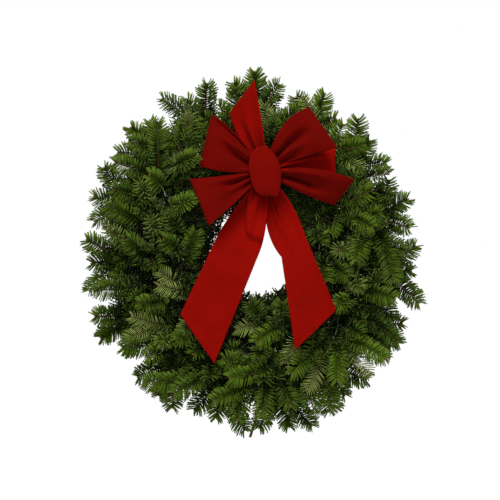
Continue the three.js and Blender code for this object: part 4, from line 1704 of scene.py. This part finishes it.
@dataclass
class BowKnot(RibbonPiece):
    """The centre loop, a closed ring of ribbon that leans by some degrees and hides the gathered necks."""

    height: float = 78.0
    half: float = 24.0
    upper_end: float = 7.5
    lower_end: float = 12.5
    waist: float = 3.4
    thickness: float = 24.0
    lean: float = 9.0
    slant: float = 0.2
    curl: float = 9.0
    tuck: float = 5.5

    columns: ClassVar[int] = 56
    rows: ClassVar[int] = 30
    closed: ClassVar[bool] = True

    def place(self, along: float, across: float) -> Vector:
        """Return a place on the knot, which runs up the front and down behind."""
        angle = 2.0 * math.pi * along
        up = self.height / 2.0 * math.sin(angle)
        deep = self.thickness / 2.0 * math.cos(angle)
        v = 2.0 * across - 1.0
        share = abs(math.sin(angle))
        open_part = 1.0 - share**2
        end = self.lower_end if up < 0.0 else self.upper_end
        if deep > 0.0:
            wide, out = self.half, -self.curl * v * v * open_part
        else:
            wide, out = self.waist, self.tuck * open_part * (1.0 - math.cos(3.0 * math.pi * v))
        side = v * mix(wide, end, share ** (2.6 - 0.6 * v))
        if up < 0.0:
            up -= self.slant * side * share**4
        out += PLAN.velvet + PLAN.gap + self.thickness / 2.0 + deep
        lean = math.radians(self.lean)
        x = side * math.cos(lean) - up * math.sin(lean)
        z = up * math.cos(lean) + side * math.sin(lean)
        return PLAN.world(PLAN.in_bow(x, z, out))


@dataclass
class BowTail(GatheredRibbon):
    """A tail: down from the knot, out to the ribbon's full width, and cut off on a slant.

    Each edge is three places. The tail is sunk behind the loops at first, and is lying on the sprays below.
    """

    left: tuple[tuple[float, float], ...] = ()
    right: tuple[tuple[float, float], ...] = ()
    sunk: float = -12.0
    lying: float = 14.0

    columns: ClassVar[int] = 80

    # the share of the way down at which an edge bends, the share in which the tail sinks behind the loops,
    # and the shares between which it comes forward
    bend: ClassVar[float] = 0.4
    sinking: ClassVar[float] = 0.1
    rising: ClassVar[tuple[float, float]] = (0.22, 0.6)

    def edge(
        self, start: tuple[float, float], marks: Sequence[tuple[float, float]], t: float
    ) -> tuple[float, float]:
        """Return a point on one edge of the tail.

        Args:
            start: The edge's start at the knot.
            marks: Two points that the edge passes near and at, and its end.
            t: The share of the way down.

        Returns:
            Millimetres across and up from the bow's middle.
        """
        a, b, end = marks
        if t < self.bend:
            return self.bezier(start, a, b, t / self.bend)
        middle = tuple(mix(p, q, 0.5) for p, q in zip(b, end))
        return self.bezier(b, middle, end, (t - self.bend) / (1.0 - self.bend))

    def edges(self, x: float) -> tuple[tuple[float, float], tuple[float, float]]:
        """Return the tail's left and right edges at a share x of the way down."""
        sides = zip(self.gather, (self.left, self.right))
        return tuple(self.edge(self.neck(at), marks, x) for at, marks in sides)

    def depth(self, x: float, v: float, side: float, pleat: float) -> float:
        """Return how far forward the tail lies.

        Args:
            x: The share of the way down from the knot.
            v: From -1 to 1 across the ribbon.
            side: Unused, as a tail has one layer.
            pleat: How deep the pleats are there.

        Returns:
            Millimetres in front of the bow's middle.
        """
        deep = mix(self.sunk * min(1.0, x / self.sinking), self.lying, smoothstep(x, *self.rising))
        return deep + pleat * self.wave(x, v) + sum(crease.depth(x, v) for crease in self.creases)

    def place(self, along: float, across: float) -> Vector:
        """Return a place on the tail, which runs down from the knot."""
        return self.between(along, across, 1.0)

    def build(self) -> None:
        """Make the tail, a hung ribbon."""
        piece, length = self.strip()


@dataclass
class Bow:
    """The whole bow: six loops, two tails and the centre loop."""

    def pieces(self) -> Iterable[RibbonPiece]:
        """Return the bow's pieces from the back to the front."""
        # the middle right loop's finish carries painted light, and the four corner loops' and the knot's
        # finishes carry painted shade
        yield BowLoop(
            "bow_loop_middle_right", finish=PAINTED_LIGHT_VELVET, gather=(18, -3), corners=((108, 40), (109, -18)),
            bulge=((56, 28), (60, 8)), puff=7, lift=-24, twist=10, deepest=15, fade=0.8,
            pitch=1.3, ridge=(-0.5, -0.4),
        )
        yield BowLoop(
            "bow_loop_top", gather=(120, 68), corners=((-55, 92), (-17, 140)), bulge=((-51, 54), (-3, 70)),
            puff=15, lift=4, twist=26, deepest=10, fade=1.6,
            creases=(Crease(-0.55, -0.75, 6.0, width=0.16), Crease(-0.2, -0.45, -8.0, width=0.2, fades=0.7)),
        )
        yield BowLoop(
            "bow_loop_upper_left", finish=PAINTED_SHADE_VELVET, gather=(170, 124), corners=((-102, 8), (-83, 88)),
            bulge=((-52, -8), (-46, 66)), puff=23, lift=12, deepest=7, fade=1.8, pitch=1.4,
            ridge=(0.45, 0.4),
            creases=(
                Crease(0.44, 0.36, 8.0, width=0.14, fades=0.85),
                Crease(-0.3, 0.3, -12.0, width=0.19, fades=0.8),
                Crease(-0.8, -0.8, 4.0, width=0.16, fades=0.45),
                Crease(0.8, 0.86, -8.0, width=0.08, fades=1.3),
            ),
        )
        yield BowLoop(
            "bow_loop_upper_right", finish=PAINTED_SHADE_VELVET, gather=(64, 26), corners=((67, 99), (111, 37)),
            bulge=((11, 78), (60, 23)), puff=23, lift=20, deepest=7, fade=1.8, pitch=1.4,
            ridge=(-0.7, -0.7),
            creases=(
                Crease(-0.05, -0.1, -15.0, width=0.2, fades=0.95),
                Crease(0.32, 0.22, 7.0, width=0.15, fades=0.8),
                Crease(0.72, 0.6, -7.0, width=0.14, fades=0.6),
            ),
        )
        yield BowLoop(
            "bow_loop_lower_left", finish=PAINTED_SHADE_VELVET, gather=(220, 174), corners=((-87, -84), (-117, -12)),
            bulge=((-42, -48), (-62, -8)), puff=18, lift=26, twist=-8, deepest=6, fade=1.6,
            creases=(
                Crease(0.7, 0.66, 5.0, width=0.18, fades=0.9),
                Crease(0.2, 0.34, -12.0, width=0.18, fades=0.68),
                Crease(-0.45, -0.4, -7.0, width=0.16, fades=0.4),
            ),
        )
        yield BowLoop(
            "bow_loop_lower_right", finish=PAINTED_SHADE_VELVET, gather=(-15, -46), corners=((137, -13), (107, -52)),
            bulge=((60, 17), (58, -38)), puff=17, lift=20, twist=-25, deepest=14, fade=1.3,
            pitch=1.4, ridge=(-0.65, -0.6),
            creases=(
                Crease(-0.6, -0.6, 5.0, width=0.16, fades=0.8),
                Crease(-0.05, 0.45, -15.0, width=0.2, fades=0.85),
            ),
        )
        yield BowTail(
            "bow_tail_left", gather=(224, 266), left=((-38, -40), (-72, -95), (-132, -222)),
            right=((9, -74), (-8, -123), (-79, -298)), sunk=-14, lying=13, deepest=7, fade=4.0,
            creases=(Flap(-1.5, 3.25, 11.0, width=0.1, begins=0.02, fades=0.37, fades_from=0.88),),
        )
        yield BowTail(
            "bow_tail_right", gather=(274, 312), left=((-9, -95), (25, -133), (46, -277)),
            right=((44, -42), (62, -100), (110, -215)), sunk=-9, lying=18, deepest=8, fade=4.0,
            creases=(Crease(-0.1, 0.1, -9.0, width=0.12, fades=0.3),),
        )
        yield BowKnot("bow_knot", finish=KNOT_PAINTED_SHADE_VELVET, width=48.0)

    def build(self) -> None:
        """Make every piece of the bow."""
        for piece in self.pieces():
            piece.build()


# The wires


@dataclass
class WireRun:
    """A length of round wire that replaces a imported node."""

    name: str
    radius: float
    finish: Finish
    slot: Slot
    points: Sequence[Vector]
    closed: bool = False
    sides: int = 2

    def build(self) -> None:
        """Make the wire as a mesh tube."""
        line = [PLAN.world(point) for point in self.points]
        mesh = tube_mesh(self.name, [line], [[self.radius * MM] * len(line)], self.sides, self.closed)
        mesh.shade_smooth()
        mesh.materials.append(self.finish.material())
        add_piece(self.name + "_wire", mesh, self.name, self.slot)
        log.info("%s: %d points", self.name, len(self.points))


def through(points: Sequence[Vector], count: int) -> list[Vector]:
    """Return evenly numbered points on a smooth line through some points.

    Args:
        points: What the line passes through.
        count: How many points to return.

    Returns:
        The points.
    """
    padded = [points[0] * 2 - points[1], *points, points[-1] * 2 - points[-2]]
    made = []
    for k in range(count):
        where = k / (count - 1) * (len(points) - 1)
        cell = min(int(where), len(points) - 2)
        t = where - cell
        a, b, c, d = padded[cell : cell + 4]
        made.append(
            (b * 2 + (c - a) * t + (a * 2 - b * 5 + c * 4 - d) * t**2 + (b * 3 - a - c * 3 + d) * t**3) * 0.5
        )
    return made


@dataclass
class WireWork:
    """The ring, the binding wire, the hanging loop and the bow's tie."""

    binding_r: float = 0.7
    binding_phase: float = 1.0
    hanger_r: float = 0.9
    hanger_rise: float = 25.0
    hanger_half: float = 9.0
    tie_r: float = 0.8
    tie_half: float = 6.0
    tie_degrees: float = 81.5

    # how many points the ring, one turn of the binding wire, and the hanging loop and the tie each have
    ring_points: ClassVar[int] = 180
    turn_points: ClassVar[int] = 24
    bent_points: ClassVar[int] = 90

    def ring(self) -> WireRun:
        """Return the ring."""
        step = 360.0 / self.ring_points
        points = [polar(PLAN.ring_r, step * k, 0.0) for k in range(self.ring_points)]
        return WireRun("ring_frame", PLAN.ring_wire_r, STEEL, Slot.FRAME_WIRE, points, closed=True, sides=3)

    @staticmethod
    def enamelled(name: str, radius: float, points: Sequence[Vector]) -> WireRun:
        """Return a run of green wire."""
        return WireRun(name, radius, ENAMEL, Slot.GREEN_WIRE, points)

    @property
    def bundle_r(self) -> float:
        """Return the radius of the ring with its stems."""
        return PLAN.ring_wire_r + PLAN.gap + 1.5 * PLAN.butt_r

    def binding(self) -> WireRun:
        """Return the wire that winds round the ring and the stems."""
        points = []
        front = self.bundle_r + 2 * PLAN.gap + self.binding_r
        back = PLAN.ring_wire_r + PLAN.gap + 1.6 * self.binding_r
        count = self.turn_points * PLAN.stations
        for k in range(count + 1):
            turn = k / count * (PLAN.stations - 0.3)
            around = 2.0 * math.pi * turn
            out = mix(front, back, smoothstep(-math.cos(around), 0.0, 1.0))
            degrees = self.binding_phase + 360.0 * turn / PLAN.stations
            points.append(polar(PLAN.ring_r + out * math.sin(around), degrees, -out * math.cos(around)))
        return self.enamelled("binding_wire", self.binding_r, points)

    def hanger(self) -> WireRun:
        """Return the hanging loop."""
        out = self.bundle_r + PLAN.gap + 2 * self.binding_r + 2 * PLAN.gap + self.hanger_r
        back = PLAN.ring_wire_r + 2 * PLAN.gap + 2 * self.binding_r + self.hanger_r
        rise = self.hanger_rise
        # one leg's places: the share of the half width, and how far up and back
        leg = (
            (1.0, -0.5, -out), (1.0, -0.8 * out, -0.8 * out), (1.0, -out, 0.0),
            (1.0, -0.75 * out, 0.9 * back), (1.0, 0.0, back),
            (1.0, 0.6 * rise, back), (0.7, 0.9 * rise, back),
        )
        left = [Vector((-share * self.hanger_half, y, PLAN.ring_r + up)) for share, up, y in leg]
        right = [Vector((-point.x, point.y, point.z)) for point in reversed(left)]
        points = [*left, Vector((0.0, back, PLAN.ring_r + rise)), *right]
        return self.enamelled("hanging_loop", self.hanger_r, through(points, self.bent_points))

    def tie(self) -> WireRun:
        """Return the wire through the knot and back to the ring."""
        leg = self.tie_half
        crossing = 2 * PLAN.velvet + 3 * PLAN.gap + self.tie_r
        hook = PLAN.ring_wire_r + 1.6 * PLAN.gap + self.tie_r
        in_bow = (
            (-0.5, 2, -36), (-leg, 0, -12), (-leg, 0, crossing - 3), (-leg + 2.5, 0, crossing),
            (leg - 2.5, 0, crossing), (leg, 0, crossing - 3), (leg, 0, -12), (3, 3, -34),
        )
        at_ring = ((-20, -26), (-9, -9), (-1.1 * hook, 0), (-0.6 * hook, 0.95 * hook), (1, 1.1 * hook))
        points = [PLAN.in_bow(*place) for place in in_bow]
        points += [polar(PLAN.ring_r + out, self.tie_degrees, y) for out, y in at_ring]
        return self.enamelled("bow_tie_wire", self.tie_r, through(points, self.bent_points))

    def build(self) -> None:
        """Make all the wires."""
        for run in (self.ring(), self.binding(), self.hanger(), self.tie()):
            run.build()


# The studio


@dataclass(frozen=True)
class Lamp:
    """A square soft light: its name, where it stands and its width in metres, and its power in watts."""

    name: str
    at: tuple[float, float, float]
    size: float
    power: float

    def build(self, aim: Vector) -> None:
        """Add the light. It shines on the aim, and the camera doesn't see it."""
        light = bpy.data.lights.new(self.name, "AREA")
        light.size = self.size
        light.energy = self.power
        holder = add_object(self.name, light)
        holder.location = self.at
        holder.rotation_euler = (aim - Vector(self.at)).to_track_quat("-Z", "Y").to_euler()
        holder.visible_camera = False


@dataclass
class Studio:
    """The floor, the lights and the camera, in metres. The glow is how strongly the white world lights.

    The image's width is in pixels, and the sensor's in millimetres.
    """

    image: int = 500
    distance: float = 8.0
    sensor: float = 36.0
    far: float = 100.0
    floor_z: float = -1.1
    floor_half: float = 6.0
    glow: float = 0.11
    lamps: tuple[Lamp, ...] = (
        Lamp("key_light", (-0.3, -1.75, 1.75), 1.3, 51.0),
        Lamp("front_light", (0.4, -3.2, 0.1), 1.6, 15.0),
        Lamp("backdrop_light", (0.0, 1.4, 0.5), 2.0, 10.0),
    )

    @property
    def aim(self) -> Vector:
        """Return the middle of the picture, inside the wreath."""
        return PLAN.world(PLAN.at_pixel((self.image / 2, self.image / 2), 45.0))

    def floor(self) -> None:
        """Make a pale floor well under the wreath."""
        bm = bmesh.new()
        bmesh.ops.create_grid(bm, x_segments=1, y_segments=1, size=self.floor_half)
        bmesh.ops.translate(bm, vec=(0.0, 0.0, self.floor_z), verts=bm.verts)
        mesh = mesh_from(bm, "floor")
        mesh.materials.append(FLOOR.material())
        add_object("floor", mesh)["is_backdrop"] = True

    def world(self) -> None:
        """Make the world white to the camera, and fainter as a light."""
        world = bpy.context.scene.world or bpy.data.worlds.new("studio")
        bpy.context.scene.world = world
        world.use_nodes = True
        tree = Tree(world.node_tree)
        back = world.node_tree.nodes["Background"]
        back.inputs["Color"].default_value = (1.0, 1.0, 1.0, 1.0)
        ray = tree.add("ShaderNodeLightPath")
        tree.join(tree.span(ray.outputs["Is Camera Ray"], 0.0, 1.0, self.glow), back.inputs["Strength"])

    def camera(self) -> None:
        """Set the camera straight in front, as wide as the photograph."""
        camera = bpy.data.cameras.new("camera")
        camera.sensor_width = self.sensor
        camera.lens = self.sensor * self.distance / (self.image * PLAN.pixel * MM)
        camera.clip_end = self.far
        holder = add_object("camera", camera)
        holder.location = self.aim + Vector((0.0, -self.distance, 0.0))
        holder.rotation_euler = (math.radians(90.0), 0.0, 0.0)
        bpy.context.scene.camera = holder

    def build(self) -> None:
        """Set up the scene round the wreath."""
        self.floor()
        for lamp in self.lamps:
            lamp.build(self.aim)
        self.world()
        bpy.context.scene.view_settings.view_transform = "Standard"
        self.camera()


def main() -> None:
    """Build the dressed wreath in its studio, and note the boxes of the solids and of the dressed model."""
    logging.basicConfig(level=logging.INFO, format="%(name)s: %(message)s")
    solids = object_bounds()
    Studio().build()
    WireWork().build()
    Greenery().build()
    Bow().build()
    bpy.context.view_layer.update()
    rows = [[list(map(float, corner)) for corner in box] for box in (solids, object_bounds())]
    log.info("boxes: %s", rows)


if __name__ == "__main__":
    main()
